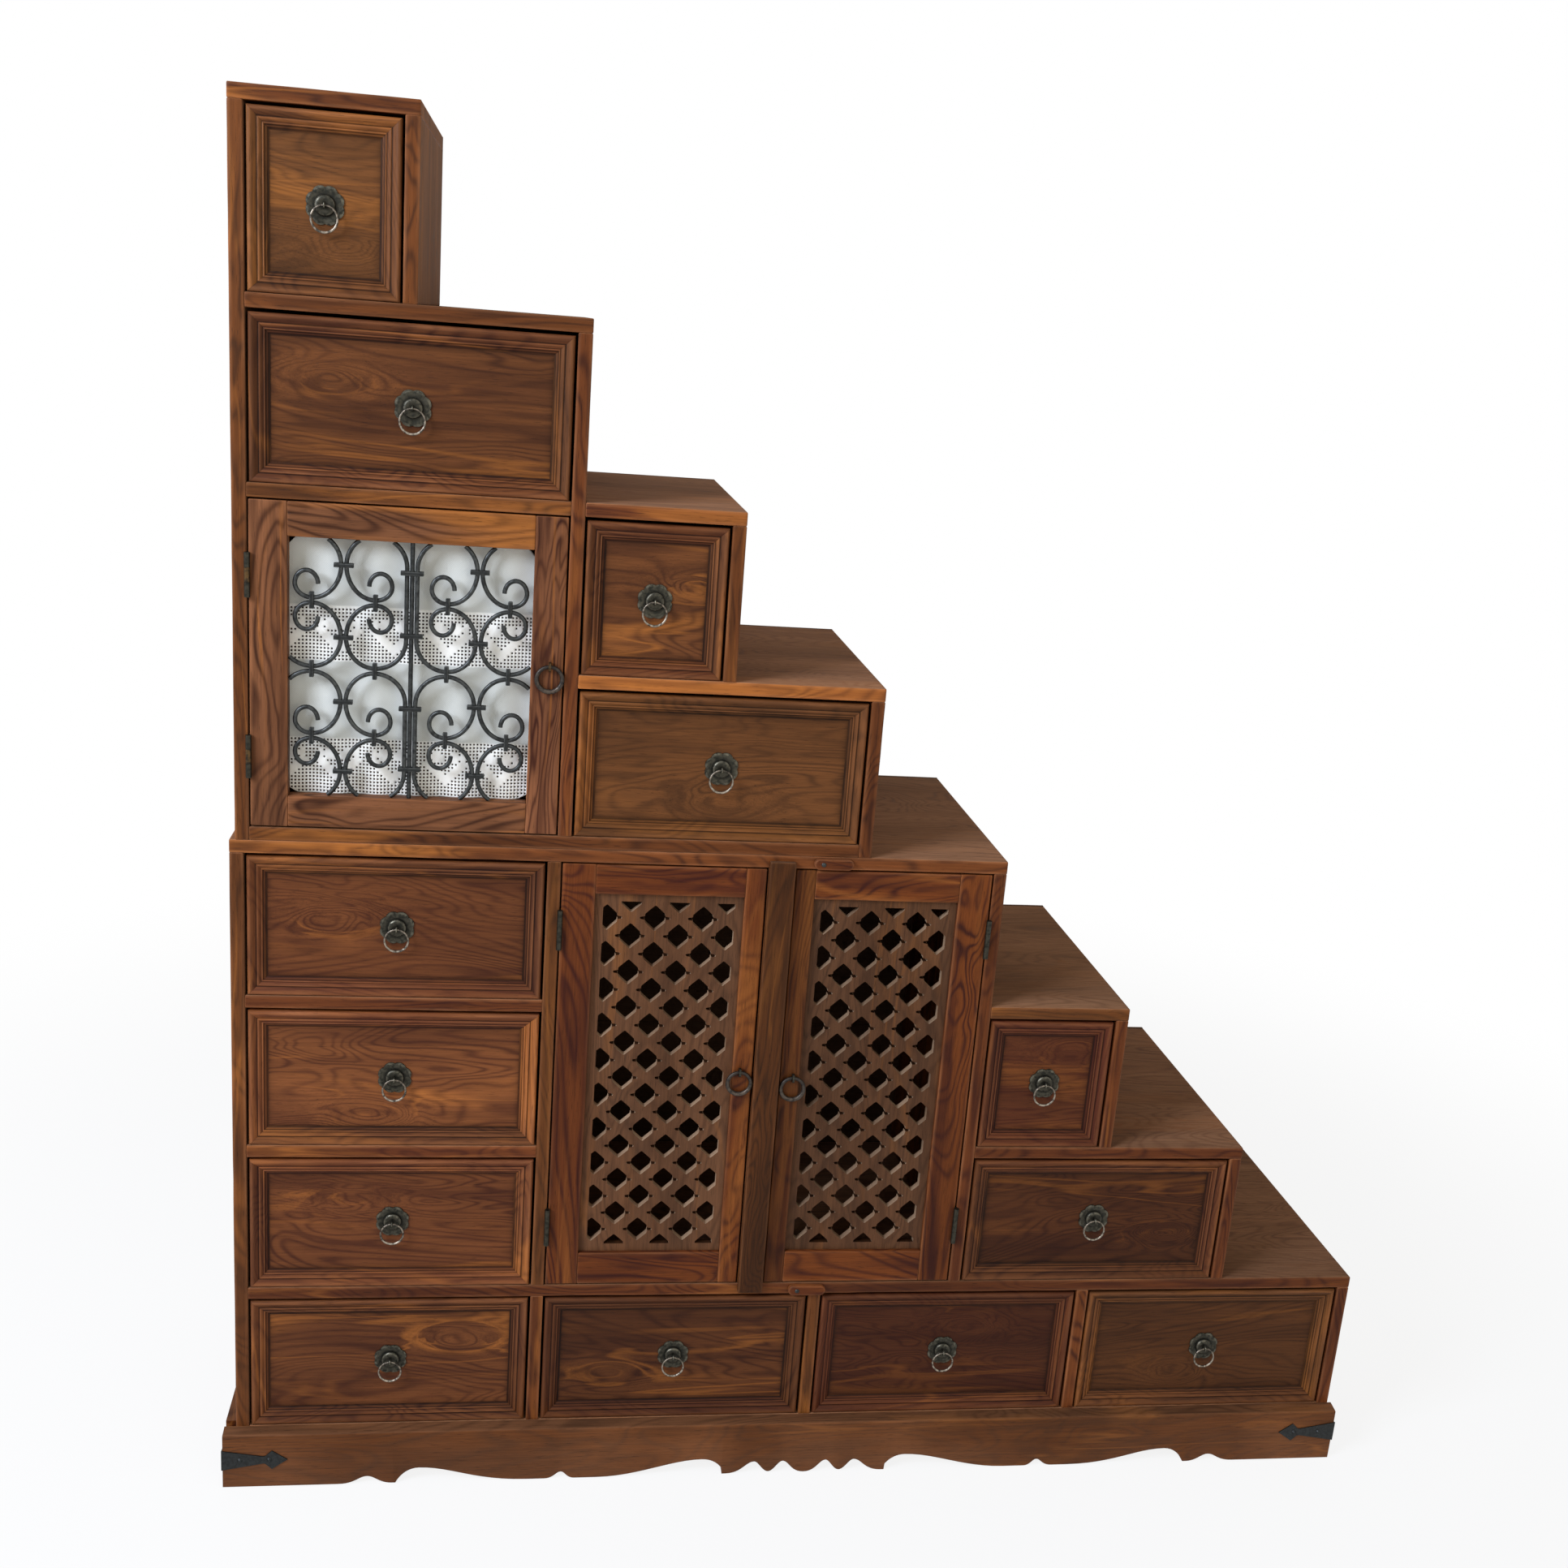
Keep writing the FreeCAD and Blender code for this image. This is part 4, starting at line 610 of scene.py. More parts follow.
class ChestStage(bpy.types.PropertyGroup):
    """Light and floor."""
    floor: colour_property("Floor", "Colour of the floor", (245, 245, 245))
    key_power: bpy.props.FloatProperty(name="Key light", description="Power of the key light", default=150,
                                       min=0, unit="POWER")
    fill_power: bpy.props.FloatProperty(name="Fill light", description="Power of the fill light", default=30,
                                        min=0, unit="POWER")
    sky: bpy.props.FloatProperty(name="Sky", description="Strength of the light from all round", default=0.38,
                                 min=0, subtype="FACTOR")


# Each wood's heartwood in the panel, how close its growth lines lie, and its finish
WOODS = {
    "oiled_case": ("case_heart", 1.0, {"dust_and_sheen": 0.8, "bold": 0.55, "golden": 0.75}),
    "oiled_drawer": ("drawer_heart", 1.0, {"bold": 0.5, "golden": 0.62}),
    "oiled_door": ("door_heart", 1.0, {"bold": 0.7, "golden": 0.85}),
    "pale_door": ("grille_heart", 1.0, {"bold": 0.7, "golden": 0.85}),
    # The lattice's pale rubbed colour paints light on its hole walls
    "oiled_lattice": ("lattice_heart", 0.7, {"gloss": 0.45, "rubbed": (186, 154, 124)}),
    "oiled_plinth": ("plinth_heart", 1.0, {"dust_and_sheen": 0.3, "bold": 0.6, "golden": 0.75}),
    "dry_back_boards": ("back_heart", 0.5, {"gloss": 0.6, "bold": 0.12, "golden": 0.12}),
}

# Each metal's own colour, or its name in the panel, its tarnish, its rubbed places and how metallic it is
METALS = {
    "old_bronze": ("bronze", (38, 38, 32), (112, 108, 94), 0.85),
    "rubbed_bronze": ((92, 84, 74), (54, 50, 44), (164, 152, 136), 0.85),
    "handled_iron": ((52, 44, 37), (34, 30, 27), (98, 86, 74), 0.6),
    "black_iron": ("iron", (40, 41, 41), (90, 92, 90), 0.85),
    "dark_brass": ("brass", (44, 38, 30), (190, 150, 90), 0.85),
}


def wood(name):
    """The named wood, made once."""
    if name not in bpy.data.materials:
        chosen = bpy.context.scene.chest_wood
        heart, closeness, finish = WOODS[name]
        wood_material(name, hue(getattr(chosen, heart)), hue(chosen.streaks), hue(chosen.sapwood),
                      chosen.figure * closeness, **finish)
    return bpy.data.materials[name]


def metal(name):
    """The named metal, made once."""
    if name not in bpy.data.materials:
        base, tarnish, bright, metallic = METALS[name]
        base = hue(getattr(bpy.context.scene.chest_metal, base)) if isinstance(base, str) else linear(base)
        metal_material(name, base, linear(tarnish), linear(bright), metallic)
    return bpy.data.materials[name]


# Pieces

class CHEST_OT_cases(bpy.types.Operator):
    """Builds both cases from their boards, the grain across the tops and up the sides"""
    bl_idname = "chest.cases"
    bl_label = "Cases"

    def execute(self, context):
        for node in ("upper_case", "lower_case"):
            stock = Stock(node)
            draw = stock.rng.uniform
            for low, high in cad_boxes(node):
                span, axis = high - low, longer_way(low, high)
                # The post's front strip and the long top are darker, and the upper case's right steps are
                # lightened with painted light, as the taller part to their left shades them
                strip = span[0] < 40 * MM and span[1] < 12 * MM
                long_top = span[0] > 1 and low[2] > 0.5
                dark = 1.0 if strip else 1.1 if long_top else 0
                if node == "upper_case" and axis == 0 and low[0] > at(380, 0, 0)[0]:
                    dark -= 0.5
                finish = (draw(-0.25, 0.15) - dark, draw(-0.1, 0.8), draw(-0.3, 0.25))
                board(stock, low, high, axis, finish, radius=3.2 if strip else 1.3)
            stock.make(node + "_boards", "case", "case_wood", wood("oiled_case"), node)
        return {"FINISHED"}


class CHEST_OT_back(bpy.types.Operator):
    """Builds the thin back boards, their inner faces painted dark as the shade inside the chest"""
    bl_idname = "chest.back"
    bl_label = "Back boards"

    def execute(self, context):
        stock = Stock("back")
        for low, high in cad_boxes("back_boards"):
            board(stock, low, high, 0, (stock.rng.uniform(-0.2, 0.2), 0, 0), radius=0.8)
            # The inner faces are painted dark: the shade inside the closed chest
            inner_face = stock.points[-1][:, 1] < (low[1] + high[1]) / 2
            stock.wear[-1] = np.where(inner_face, -0.9, stock.wear[-1])
        stock.make("thin_back_boards", "case", "back_wood", wood("dry_back_boards"), "back_boards")
        return {"FINISHED"}


def lower_edge():
    """The plinth's lower edge from left to right: cubics that leave and arrive level, and their mirror."""
    right = []
    for (x0, z0, _, after), (x1, z1, before, _) in zip(SCALLOP_SHARES, SCALLOP_SHARES[1:]):
        run = x1 - x0
        count = 2 if z0 == z1 or not (after or before) else 13
        right.append(bezier((x0, z0), (x0 + run * after, z0), (x1 - run * before, z1), (x1, z1), count)[:-1])
    right = np.concatenate(right + [SCALLOP_SHARES[-1:, :2], [[0.9, 0], [0.97, 0], [1, 0]]])
    return np.concatenate([right[:0:-1] * (-1, 1), right])


class CHEST_OT_plinth(bpy.types.Operator):
    """Builds the plinth: a front board with a scalloped lower edge, two side boards and a rear board"""
    bl_idname = "chest.plinth"
    bl_label = "Plinth"

    def execute(self, context):
        stock = Stock("plinth")
        low, high = corners("plinth")
        edge = lower_edge()
        # The front board's section: place forwards, height, wear, and the share that follows the scallops
        section = np.array(((-18, 1.6, 1, 1), (-17.6, 0.5, 1, 1), (-16.6, 0, 0.6, 1), (12, 0, 0, 1),
                            (12, SEAT_TOP, 0, 0), (0, SEAT_TOP, 0, 0), (0, PLINTH_TOP, 0, 0),
                            (-14.5, 80.7, 0, 0), (-16.8, 80.1, 0.8, 0), (-17.8, 79.2, 1, 0),
                            (-18, 77.6, 0.6, 0)))
        y, up, worn, scalloped = section.T
        x = (low[0] + high[0] + (high[0] - low[0]) * edge[:, :1]) / 2
        rings = places(x, y * MM + CASE_CORNER[1], (up + SCALLOP_RISE * edge[:, 1:] * scalloped) * MM)
        worn = worn * (0.3 + 0.7 * wander(edge[:, 0], 0.09, stock.rng)[:, None])
        stock.carry(rings, rings[..., [0, 2, 1]] + stock.rng.random(3), (-0.3, 0.55, -0.2), worn)
        for outer, inner, wall in ((-15, 15, 0), (1578, 1548, 1573)):
            section = np.array(((outer, 0), (outer, PLINTH_TOP), (wall, PLINTH_TOP), (wall, SEAT_TOP),
                                (inner, SEAT_TOP), (inner, 0)))
            rings = in_case(section[None], np.linspace(12, 420, 12)[:, None])
            stock.carry(rings, rings[..., [1, 2, 0]] + stock.rng.random(3), (0, 0.3, 0))
        board(stock, at(15, 390, 0), at(1548, 420, SEAT_TOP), 0, (0, 0.2, 0))
        stock.make("plinth_boards", "case", "plinth_wood", wood("oiled_plinth"), "plinth")
        return {"FINISHED"}


class CHEST_OT_drawers(bpy.types.Operator):
    """Builds every drawer: a panel in a mitred moulding, two sides, a bottom and a back"""
    bl_idname = "chest.drawers"
    bl_label = "Drawers"

    def execute(self, context):
        for name in DRAWERS:
            node = "drawer_" + name
            stock = Stock(node)
            (low, high), *rest = cad_boxes(node, 5)
            finish, shift, knot = DRAWER_FINISH[name]
            panel(stock, low, high, finish, (shift, 0.1, 0.05), knot)
            for number, (start, end) in enumerate(rest):
                board(stock, start, end, 1 if number < 2 else 0, (0.1, 0.2, 0), radius=0.8)
            moulding(stock, low[[0, 2]], high[[0, 2]], corners(node)[0][1], finish)
            stock.make(node + "_wood", node, "drawer_wood", wood("oiled_drawer"), node)
        return {"FINISHED"}


def flower(turn):
    """A pull's plate by rings about its middle: distance, height and a value that brightens with wear and
    darkens below nought, in millimetres. Eight petals push the rim out and swell softly, and the boss has a
    round shoulder and a dished top; the metal is darkened about the boss's foot and at the middle of its top."""
    petals, notch_radius, petal_reach = 8, 19.8, 2.2
    petal = 1 - (2 * ((turn / (2 * math.pi) * petals) % 1) - 1) ** 2
    inner = np.array((0.5, 2, 3.5, 5, 6.5, 8, 9, 9.8, 10.5, 11.1, 11.5, 11.8, 12, 12.3, 12.8, 13.5))[:, None]
    outer = np.array((0.72, 0.78, 0.84, 0.89, 0.93, 0.96, 0.98, 0.993, 1))[:, None]
    outer = outer * (notch_radius + petal_reach * petal)
    face = np.concatenate([inner + 0 * turn, outer])[::-1]
    boss = 5 * np.clip(1 - (face / 12) ** 5, 0, 1) ** 0.5 * (1 - 0.3 * np.exp(-(face / 6.5) ** 2))
    rise = 1.5 + 0.5 * petal * np.exp(-((face - 18) / 2.2) ** 2) + boss
    rise[0] -= 0.5
    distance = np.concatenate([0.3 * face[:1], face[:1], face])
    rise = np.concatenate([0 * rise[:2], rise])
    wear = 0.1 + 0.6 * np.exp(-((distance - 10.6) / 0.8) ** 2) + 0.5 * petal * (distance > 19)
    wear -= 1.1 * np.exp(-((distance - 12.7) / 0.8) ** 2) + 0.5 * np.exp(-(distance / 5) ** 2)
    return distance, rise, wear


class CHEST_OT_pulls(bpy.types.Operator):
    """Builds every pull: a flower plate with a domed boss and an eye, and the ring that hangs from it"""
    bl_idname = "chest.pulls"
    bl_label = "Pulls"

    def execute(self, context):
        turn, about = turns(112), turns(24)
        distance, rise, wear = flower(turn)
        face = places(distance * np.sin(turn), -rise, distance * np.cos(turn)) * MM
        eye = places(0, 2.7 * np.cos(about) - 9.2, 2.7 * np.sin(about)) * MM
        for name in DRAWERS:
            plate, ring = "pull_plate_" + name, "pull_ring_" + name
            low, high = corners(plate)
            foot = (low + high) / 2
            foot[1] = high[1]
            stock = Stock()
            stock.carry(foot + face, wear=wear)
            tube(stock, foot + eye, 1.05 * MM, closed=True, across=(1, 0, 0), wear=1)
            stock.make("pull_flower_" + name, "drawer_" + name, "bronze", metal("old_bronze"), plate)
            hanging_ring(ring, "pull_loop_" + name, "bronze", metal("rubbed_bronze"), bar=1.2, thin=1.1,
                         swell=0.4, power=1, wear=0.4, points=72, sides=12)
        return {"FINISHED"}


class CHEST_OT_doors(bpy.types.Operator):
    """Builds the frames of the grille door and of both lattice doors"""
    bl_idname = "chest.doors"
    bl_label = "Door frames"

    def execute(self, context):
        for door, finishes in DOOR_FINISH.items():
            node = door + "_frame"
            stock = Stock(node)
            for (low, high), finish in zip(cad_boxes(node), finishes):
                board(stock, low, high, longer_way(low, high), finish, radius=1.2)
            material = wood("pale_door" if door == "grille_door" else "oiled_door")
            stock.make(door + "_boards", door, "door_wood", material, node)
        return {"FINISHED"}


def hole_points(middle):
    """One lattice hole round its four quarters: a curved diamond with a point on each side."""
    quarter = np.array(HOLE_SHARES) * HOLE_HALVES
    top = np.concatenate([quarter, quarter[-2::-1] * (-1, 1)])
    return np.concatenate([top, top[-2:0:-1] * (1, -1)]) + middle


def clipped(points, low, high):
    """An outline cut by an upright rectangle: each side's crossings replace what lies outside."""
    for axis, limit, sign in ((0, low[0], 1), (0, high[0], -1), (1, low[1], 1), (1, high[1], -1)):
        if not len(points):
            return points
        inside = sign * (points[:, axis] - limit) > 1e-6
        following = np.roll(points, -1, 0)
        crosses = inside != np.roll(inside, -1)
        share = (limit - points[:, axis]) / np.where(crosses, following[:, axis] - points[:, axis], 1)
        cuts = points + (following - points) * share[:, None]
        chosen = np.stack([inside, crosses], 1).ravel()
        points = np.stack([points, cuts], 1).reshape(-1, 2)[chosen]
    return points


def pierced_sheet(name, outlines, half):
    """A flat sheet with holes, standing across and up: a filled curve given its thickness and made a mesh."""
    curve = bpy.data.curves.new(name + "_outline", "CURVE")
    curve.dimensions, curve.fill_mode, curve.extrude = "2D", "BOTH", half
    for outline in outlines:
        spline = curve.splines.new("POLY")
        spline.points.add(len(outline) - 1)
        spots = np.zeros((len(outline), 4))
        spots[:, :2], spots[:, 3] = outline * MM, 1
        spline.points.foreach_set("co", spots.ravel())
        spline.use_cyclic_u = True
    holder = bpy.data.objects.new(name + "_outline", curve)
    bpy.context.scene.collection.objects.link(holder)
    mesh = bpy.data.meshes.new_from_object(holder)
    bpy.data.objects.remove(holder)
    bpy.data.curves.remove(curve)
    shape = bmesh.new()
    shape.from_mesh(mesh)
    bmesh.ops.remove_doubles(shape, verts=shape.verts, dist=1e-6)
    bmesh.ops.recalc_face_normals(shape, faces=shape.faces)
    shape.to_mesh(mesh)
    shape.free()
    mesh.transform(Matrix.Rotation(math.pi / 2, 4, "X"))
    return mesh


class CHEST_OT_lattice(bpy.types.Operator):
    """Builds the pierced panels of the lattice doors, their hole walls painted pale as lit and their slits
    painted dark as shade
    """
    bl_idname = "chest.lattice"
    bl_label = "Lattice panels"

    def execute(self, context):
        for side, tone_and_painted_light in (("left", -0.3), ("right", -0.6)):
            node = "lattice_panel_" + side
            low, high = corners(node)
            width, height = (high - low)[[0, 2]] / MM
            border = np.array((LATTICE_BORDER, LATTICE_BORDER))
            outlines = [np.array(((0, 0), (width, 0), (width, height), (0, height)))]
            for row in range(LATTICE_ROWS):
                up = height / 2 + (row - LATTICE_ROWS // 2) * ROW_PITCH
                for column in range(LATTICE_COLUMNS):
                    across = (FIRST_COLUMN + column + (row % 2 == 0) / 2) * COLUMN_PITCH
                    cut = clipped(hole_points((across, up)), border, (width, height) - border)
                    if len(cut) > 2 and min(np.ptp(cut, axis=0)) > LEAST_HOLE:
                        outlines.append(cut)
            mesh = pierced_sheet(node, outlines, (high[1] - low[1]) / 2)
            mesh.transform(Matrix.Translation((low[0], (low[1] + high[1]) / 2, low[2])))
            _, forwards, upwards = np.abs(read(mesh.polygons, "normal", 3)).T
            # Front and back faces barely worn; the slits' level walls are painted dark as shade, the other
            # hole walls painted pale as lit
            wear = np.where(forwards > 0.5, 0.1, np.where(upwards > 0.9, -0.9, 2))
            grain = read(mesh.vertices, "co", 3)[:, [2, 0, 1]] + (0, 0.3, 0.1)
            add_attributes(mesh, grain, np.broadcast_to((tone_and_painted_light, 0.2, -0.15), grain.shape), wear, "FACE")
            pierced = finish_piece("lattice_pierced_" + side, mesh, "lattice_door_" + side, "lattice_wood",
                                   wood("oiled_lattice"), node)
            bevel = pierced.modifiers.new("Soft edges", "BEVEL")
            bevel.width, bevel.segments, bevel.limit_method = 0.5 * MM, 2, "ANGLE"
            bevel.angle_limit, bevel.use_clamp_overlap, bevel.harden_normals = math.radians(60), True, True
        return {"FINISHED"}


def scroll_line():
    """A scroll's centre line in millimetres about its joint level, bulging to the right: quarters of ellipses
    for the curl, the bulge and the end, above and mirrored below, with a straight flat side between."""
    joint, bulge, reach, middle = 3.0, 34.0, 36.5, 43.5
    curl_x, curl_z, curl_wide, curl_tall = -6.0, 19.75, 13.4, 15.75
    quarters = []
    for x, z, wide, tall, start, count in (
            (curl_x, curl_z, curl_wide, curl_tall, 0, 9), (curl_x, curl_z, curl_wide, curl_tall, 90, 9),
            (0, curl_z, curl_wide - curl_x, curl_z - joint, 180, 9),
            (0, middle, bulge, middle - joint, 270, 25), (0, middle, bulge, reach, 0, 25),
            (0, middle, reach, reach, 90, 25)):
        angle = np.radians(start + 90 * np.linspace(0, 1, count))
        quarters.append(np.stack([x + wide * np.cos(angle), z + tall * np.sin(angle)], 1))
    upper = np.concatenate([quarters[0][:1]] + [run[1:] for run in quarters])
    return np.concatenate([upper, upper[::-1] * (1, -1)])


def long_runs(inside, least=14):
    """Start and end of each unbroken run of true values that is longer than a few."""
    edges = np.flatnonzero(np.diff(np.concatenate([[0], inside.astype(int), [0]])))
    return [(start, end) for start, end in zip(edges[::2], edges[1::2]) if end - start > least]


def collars():
    """Place and size of each collar: round the centre bar, between columns and between curls."""
    found = []
    for level in (-SCROLL_LEVEL, SCROLL_LEVEL):
        for side in (-1, 1):
            found.append(((0, level + side * 38), (27, 5.5)))
            found += [((column * 79.5, level + side * 43.5), (23, 5.5)) for column in (-1, 1)]
    for level in (-SCROLL_LEVEL, SCROLL_LEVEL, 0):
        for side in (-1, 1):
            found += [((side * column, level), (5.5, 20)) for column in (INNER_COLUMN, OUTER_COLUMN)]
    return [(WINDOW_MIDDLE + place, np.array(size)) for place, size in found]


class CHEST_OT_grille(bpy.types.Operator):
    """Builds the grille: scrolls of round bar in four columns and two levels, a centre bar and collars"""
    bl_idname = "chest.grille"
    bl_label = "Iron grille"

    def execute(self, context):
        stock, line = Stock("grille"), scroll_line()
        for level in (-1, 1):
            for column, turned in ((INNER_COLUMN, 1), (OUTER_COLUMN, -1)):
                for side in (-1, 1):
                    joint = WINDOW_MIDDLE + (side * column, level * SCROLL_LEVEL)
                    path = line * (turned * side, level) + joint
                    for start, end in long_runs(((path > WINDOW_LOW) & (path < WINDOW_HIGH)).all(1)):
                        part = in_case(path[start:end], BAR_DEPTH)
                        tube(stock, part, BAR_RADIUS, wear=0.2 + 0.3 * stock.rng.random())
        bar = np.linspace((WINDOW_MIDDLE[0], WINDOW_LOW[1]), (WINDOW_MIDDLE[0], WINDOW_HIGH[1]), 9)
        tube(stock, in_case(bar, BAR_DEPTH), BAR_RADIUS, wear=0.2)
        for place, size in collars():
            low, high = np.maximum(place - size / 2, WINDOW_LOW), np.minimum(place + size / 2, WINDOW_HIGH)
            if (high - low > 1).all():
                board(stock, at(low[0], BAR_DEPTH - 4, low[1]), at(high[0], BAR_DEPTH + 4, high[1]),
                      0 if size[0] > size[1] else 2, (0, 0, 0), radius=1.4, spacing=6)
        stock.make("iron_scrolls", "grille_door", "iron", metal("black_iron"), "grille_iron")
        return {"FINISHED"}


def open_steps(low, high, count):
    """The edges of narrow and wide steps in turn, scaled to fill a run: threads and openings."""
    edges = np.concatenate([[0], np.cumsum(np.where(np.arange(count) % 2, 2.2, 2.1))])
    return low + (high - low) * edges / edges[-1]


def crochet_holes(columns, rows, z):
    """Open cells of the crochet: every second cell both ways, apart from the solid work. Counted in steps
    down from a band's top and sideways from a point, that is a V three steps wide with two lozenges in it."""
    middle = (z[:-1] + z[1:]) / 2
    across = np.arange(columns)
    aside = np.abs((across // 2 + 7) % 15 - 7)[None, :]
    open_cells = np.zeros((rows, columns), bool)
    for low, high in CROCHET:
        inside = np.flatnonzero((middle > low) & (middle < high))
        down = ((inside[-1] // 2 * 2 - inside) // 2)[:, None]
        stroke = (aside > 9.5 - down) & (aside < 12.5 - down) & (down > 5)
        upper = (down > 2) & (down <= 5) & (np.abs(aside - 5) < 1)
        lozenge = 0.9 * np.abs(aside - 2.4) + np.abs(down - 4.3) < 2
        grid = (inside % 2 == 1)[:, None] & (across % 2 == 1)[None, :]
        open_cells[inside] = grid & ~(stroke | upper | lozenge)
    return open_cells


class CHEST_OT_curtain(bpy.types.Operator):
    """Hangs the curtain: linen in upright waves with two bands of crochet"""
    bl_idname = "chest.curtain"
    bl_label = "Curtain"

    def execute(self, context):
        chosen = context.scene.chest_cloth
        columns, rows, waves, hanging_depth, top_radius, foot_radius = 143, 150, 6, 22.9, 50, 28
        x, z = (open_steps(*run) for run in zip(CURTAIN_LOW, CURTAIN_HIGH, (columns, rows)))
        spots = np.stack(np.meshgrid(x, z), -1)
        middle, half = (CURTAIN_LOW + CURTAIN_HIGH) / 2, (CURTAIN_HIGH - CURTAIN_LOW) / 2
        radius = np.where(spots[..., 1:] > middle[1], top_radius, foot_radius)
        past = np.maximum(np.abs(spots - middle) - half + radius, 0)
        beyond = np.maximum(np.hypot(past[..., :1], past[..., 1:]) / radius, 1)
        spots += np.sign(spots - middle) * past * (1 / beyond - 1)
        across, up = spots[..., 0], spots[..., 1]
        side_share, share = ((spots - CURTAIN_LOW) / (2 * half)).transpose(2, 0, 1)
        wave = np.sin(side_share * waves * 2 * math.pi + 0.5 * np.sin(share * 3))
        ruck = 0.25 * np.sin(across / 9 + up / 21) * np.sin(up / 34 + across / 55)
        folds = hanging_depth - ((5.0 - 2.0 * share) / 2 - 0.35) * wave + ruck
        bands = sum((up > low) & (up < high) for low, high in CROCHET)
        index = np.arange(across.size).reshape(across.shape)
        quads = np.stack([index[:-1, :-1], index[:-1, 1:], index[1:, 1:], index[1:, :-1]], -1)
        rounded_off = beyond.ravel()[quads] > 1
        missing = rounded_off.all(-1) | crochet_holes(columns, rows, z) & ~rounded_off.any(-1)
        stock = Stock()
        stock.faces = quads[~missing].tolist()
        stock.add(in_case(spots, folds), places(across * MM, up * MM, bands), (0, 0, 0), 0)
        material = linen_material("curtain_cloth", hue(chosen.linen), hue(chosen.thread))
        cloth = stock.make("linen_curtain", "grille_door", "linen", material, "curtain")
        solid = cloth.modifiers.new("Thickness", "SOLIDIFY")
        solid.thickness, solid.offset = chosen.thickness, 0
        cells = np.diff(x) * np.diff(z)[:, None]
        return {"FINISHED"}


class CHEST_OT_door_rings(bpy.types.Operator):
    """Builds the iron rings of the three doors, thinner where they hang"""
    bl_idname = "chest.door_rings"
    bl_label = "Door rings"

    def execute(self, context):
        for door in DOOR_FINISH:
            node = door + "_ring"
            hanging_ring(node, node + "_iron", "iron", metal("handled_iron"), bar=3, thin=2.3,
                         swell=0.7, power=0.7, wear=0, points=80, sides=14)
        return {"FINISHED"}


class CHEST_OT_buttons(bpy.types.Operator):
    """Builds the two wooden turn buttons with their screws"""
    bl_idname = "chest.buttons"
    bl_label = "Turn buttons"

    def execute(self, context):
        turn = turns(40)
        ends = np.where(np.cos(turn) > 0, 32.5, -4.5)
        # Radius, depth and wear of the button's outline, then radius and height of the screw's head
        sections = np.array(((0.3, -0.3, 0), (6.3, -0.3, 0.2), (7.3, -0.6, 1), (7.5, -1.3, 1),
                             (7.5, -5.9, 0.7), (7.1, -6.8, 1), (6.2, -7.25, 0.8), (4.5, -7.3, 0)))
        head = np.array(((0.3, -1), (1, -1), (1, 0.4), (0.93, 0.85), (0.75, 1.25), (0.4, 1.5), (0.1, 1.55)))
        radius, depth, worn = sections.T[..., None]
        share, rise = head.T[..., None]
        about = turns(28)
        for place, x, z in (("top", 738.5, 906.5), ("bottom", 752, 285.5)):
            node = "turn_button_" + place
            stock = Stock(node)
            rings = places(x + ends + np.cos(turn) * radius, depth, z + np.sin(turn) * radius)
            rings = rings * MM + CASE_CORNER
            wear = worn * (0.5 + 0.5 * stock.rng.random())
            stock.carry(rings, rings + stock.rng.random(3), (-0.15, 0.1, 0.3), wear)
            stock.make(node + "_wood", node, "door_wood", wood("oiled_door"), node)
            screw = Stock()
            rings = places(x + 3.1 * np.cos(about) * share, -7.1 - rise, z + 3.1 * np.sin(about) * share)
            screw.carry(rings * MM + CASE_CORNER, wear=0.4)
            screw.make(node + "_screw", node, "iron", metal("black_iron"))
        return {"FINISHED"}


class CHEST_OT_fittings(bpy.types.Operator):
    """Gives the hinges, staples and straps, which keep their solid shapes, their metals"""
    bl_idname = "chest.fittings"
    bl_label = "Hinges and straps"

    def execute(self, context):
        for node, name in (("hinge_leaves", "old_bronze"), ("grille_door_hardware", "dark_brass"),
                           ("lattice_door_left_hardware", "old_bronze"),
                           ("lattice_door_right_hardware", "old_bronze"), ("plinth_straps", "black_iron")):
            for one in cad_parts[node].material_slots:
                one.material = metal(name)
        return {"FINISHED"}


def seen_ray(tree):
    """One for the rays that show a background: from the camera, or mirrored or passed through on the way."""
    path = add_node(tree, "ShaderNodeLightPath")
    either = sums(tree, "MAXIMUM", path.outputs["Is Camera Ray"], path.outputs["Is Glossy Ray"])
    return sums(tree, "MAXIMUM", either, path.outputs["Is Transmission Ray"])


def floor_material(colour):
    """A pale floor that shows nearly white and still takes the chest's shadow."""
    material = bpy.data.materials.new("pale_floor")
    tree = empty_tree(material)
    place = coordinates(tree)
    away = add_node(tree, "ShaderNodeVectorMath", {0: place}, operation="LENGTH").outputs["Value"]
    tint = mixed(tree, noise(tree, place, scale=0.8), colour, (0.88, 0.88, 0.88, 1))
    matt = add_node(tree, "ShaderNodeBsdfDiffuse", {0: tint})
    white = add_node(tree, "ShaderNodeEmission", {0: (1, 1, 1, 1), 1: 1.0})
    share = product(tree, seen_ray(tree), scaled(tree, band(tree, away, 1.2, 2.6), 0.14, 0.86))
    both = add_node(tree, "ShaderNodeMixShader", {0: share, 1: matt.outputs[0], 2: white.outputs[0]})
    add_node(tree, "ShaderNodeOutputMaterial", {0: both.outputs[0]})
    return material


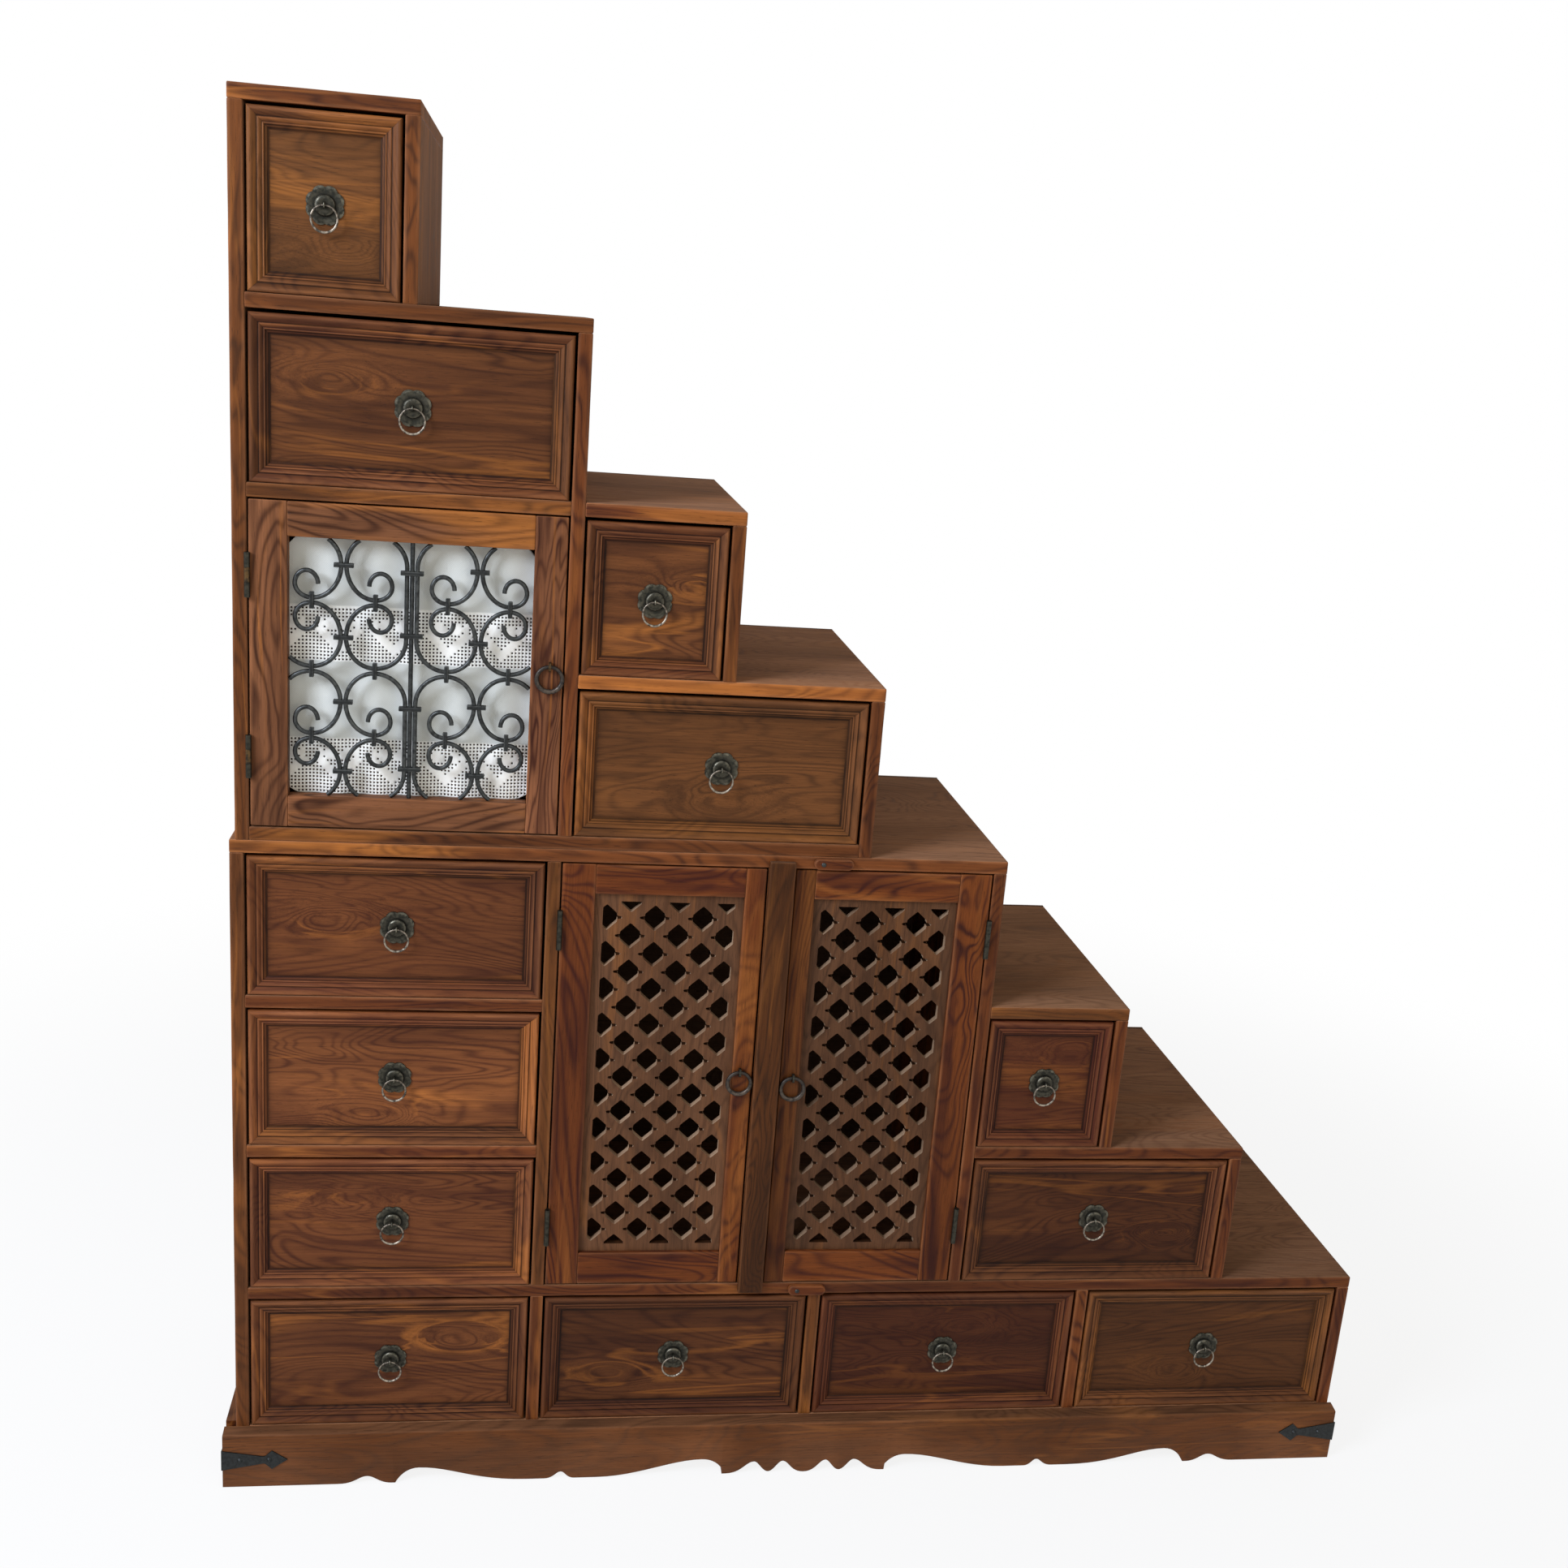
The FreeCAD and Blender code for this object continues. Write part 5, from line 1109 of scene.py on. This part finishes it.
class CHEST_OT_stage(bpy.types.Operator):
    """Lays the floor, sets the lights and places the camera where the photograph was taken from"""
    bl_idname = "chest.stage"
    bl_label = "Stage"

    def execute(self, context):
        chosen, scene = context.scene.chest_stage, context.scene
        mesh = bpy.data.meshes.new("floor")
        mesh.from_pydata([(-9, -9, 0), (9, -9, 0), (9, 9, 0), (-9, 9, 0)], [], [(0, 1, 2, 3)])
        floor = bpy.data.objects.new("floor", mesh)
        scene.collection.objects.link(floor)
        mesh.materials.append(floor_material(hue(chosen.floor)))
        scene.world = bpy.data.worlds.new("studio")
        tree = empty_tree(scene.world)
        soft = add_node(tree, "ShaderNodeBackground", {0: (1, 0.985, 0.96, 1), 1: chosen.sky})
        white = add_node(tree, "ShaderNodeBackground", {0: (1, 1, 1, 1), 1: 1.0})
        shown = {0: seen_ray(tree), 1: soft.outputs[0], 2: white.outputs[0]}
        add_node(tree, "ShaderNodeOutputWorld", {0: add_node(tree, "ShaderNodeMixShader", shown).outputs[0]})
        for name, spot, size, power, tint in (
                ("key", (-3.1, -2.2, 3.0), 1.6, chosen.key_power, (0.9, 0.99, 1.18)),
                ("fill", (1.6, -4.2, 2.0), 2.6, chosen.fill_power, (1.08, 1.0, 0.82))):
            light = bpy.data.lights.new(name, "AREA")
            light.energy, light.size, light.color = power, size, tint
            lamp = bpy.data.objects.new(name, light)
            lamp.location = spot
            lamp.rotation_euler = (Vector((0, 0, 0.8)) - Vector(spot)).to_track_quat("-Z", "Y").to_euler()
            scene.collection.objects.link(lamp)
        camera = bpy.data.cameras.new("camera")
        camera.lens, camera.sensor_width = 38.31, 36
        camera.clip_start, camera.clip_end = 0.05, 60
        eye = bpy.data.objects.new("camera", camera)
        place = (-0.42415, -2.21627, 1.56451)
        right, up = Vector((0.98771, -0.13709, 0.07523)), Vector((-0.03583, 0.26994, 0.96222))
        turn = Matrix((right, up, right.cross(up))).transposed().to_4x4()
        eye.matrix_world = Matrix.Translation(place) @ turn
        scene.collection.objects.link(eye)
        scene.camera = eye
        scene.view_settings.view_transform = "Standard"
        return {"FINISHED"}


class CHEST_PT_panel(bpy.types.Panel):
    """Lists the chest's pieces and what can be changed"""
    bl_idname = "CHEST_PT_panel"
    bl_label = "Step chest"
    bl_space_type = "VIEW_3D"
    bl_region_type = "UI"
    bl_category = "Step chest"

    def draw(self, context):
        for step in STEPS:
            self.layout.operator(step.bl_idname)
        for label, kind in GROUPS.items():
            box = self.layout.box()
            for field in kind.__annotations__:
                box.prop(getattr(context.scene, label), field)


GROUPS = {"chest_wood": ChestWood, "chest_metal": ChestMetal, "chest_cloth": ChestCloth,
          "chest_stage": ChestStage}
STEPS = (CHEST_OT_stage, CHEST_OT_cases, CHEST_OT_back, CHEST_OT_plinth, CHEST_OT_drawers, CHEST_OT_pulls,
         CHEST_OT_doors, CHEST_OT_lattice, CHEST_OT_grille, CHEST_OT_curtain, CHEST_OT_door_rings,
         CHEST_OT_buttons, CHEST_OT_fittings)


def register():
    """Registers every class and hangs the properties on the scene."""
    for kind in (*GROUPS.values(), *STEPS, CHEST_PT_panel):
        bpy.utils.register_class(kind)
    for label, kind in GROUPS.items():
        setattr(bpy.types.Scene, label, bpy.props.PointerProperty(type=kind))


def unregister():
    """Takes the properties and the classes away again."""
    for label in GROUPS:
        delattr(bpy.types.Scene, label)
    for kind in (CHEST_PT_panel, *reversed(STEPS), *GROUPS.values()):
        bpy.utils.unregister_class(kind)


def main():
    """Builds every piece in order."""
    register()
    for step in STEPS:
        group, action = step.bl_idname.split(".")
        getattr(getattr(bpy.ops, group), action)()


if __name__ == "__main__":
    main()
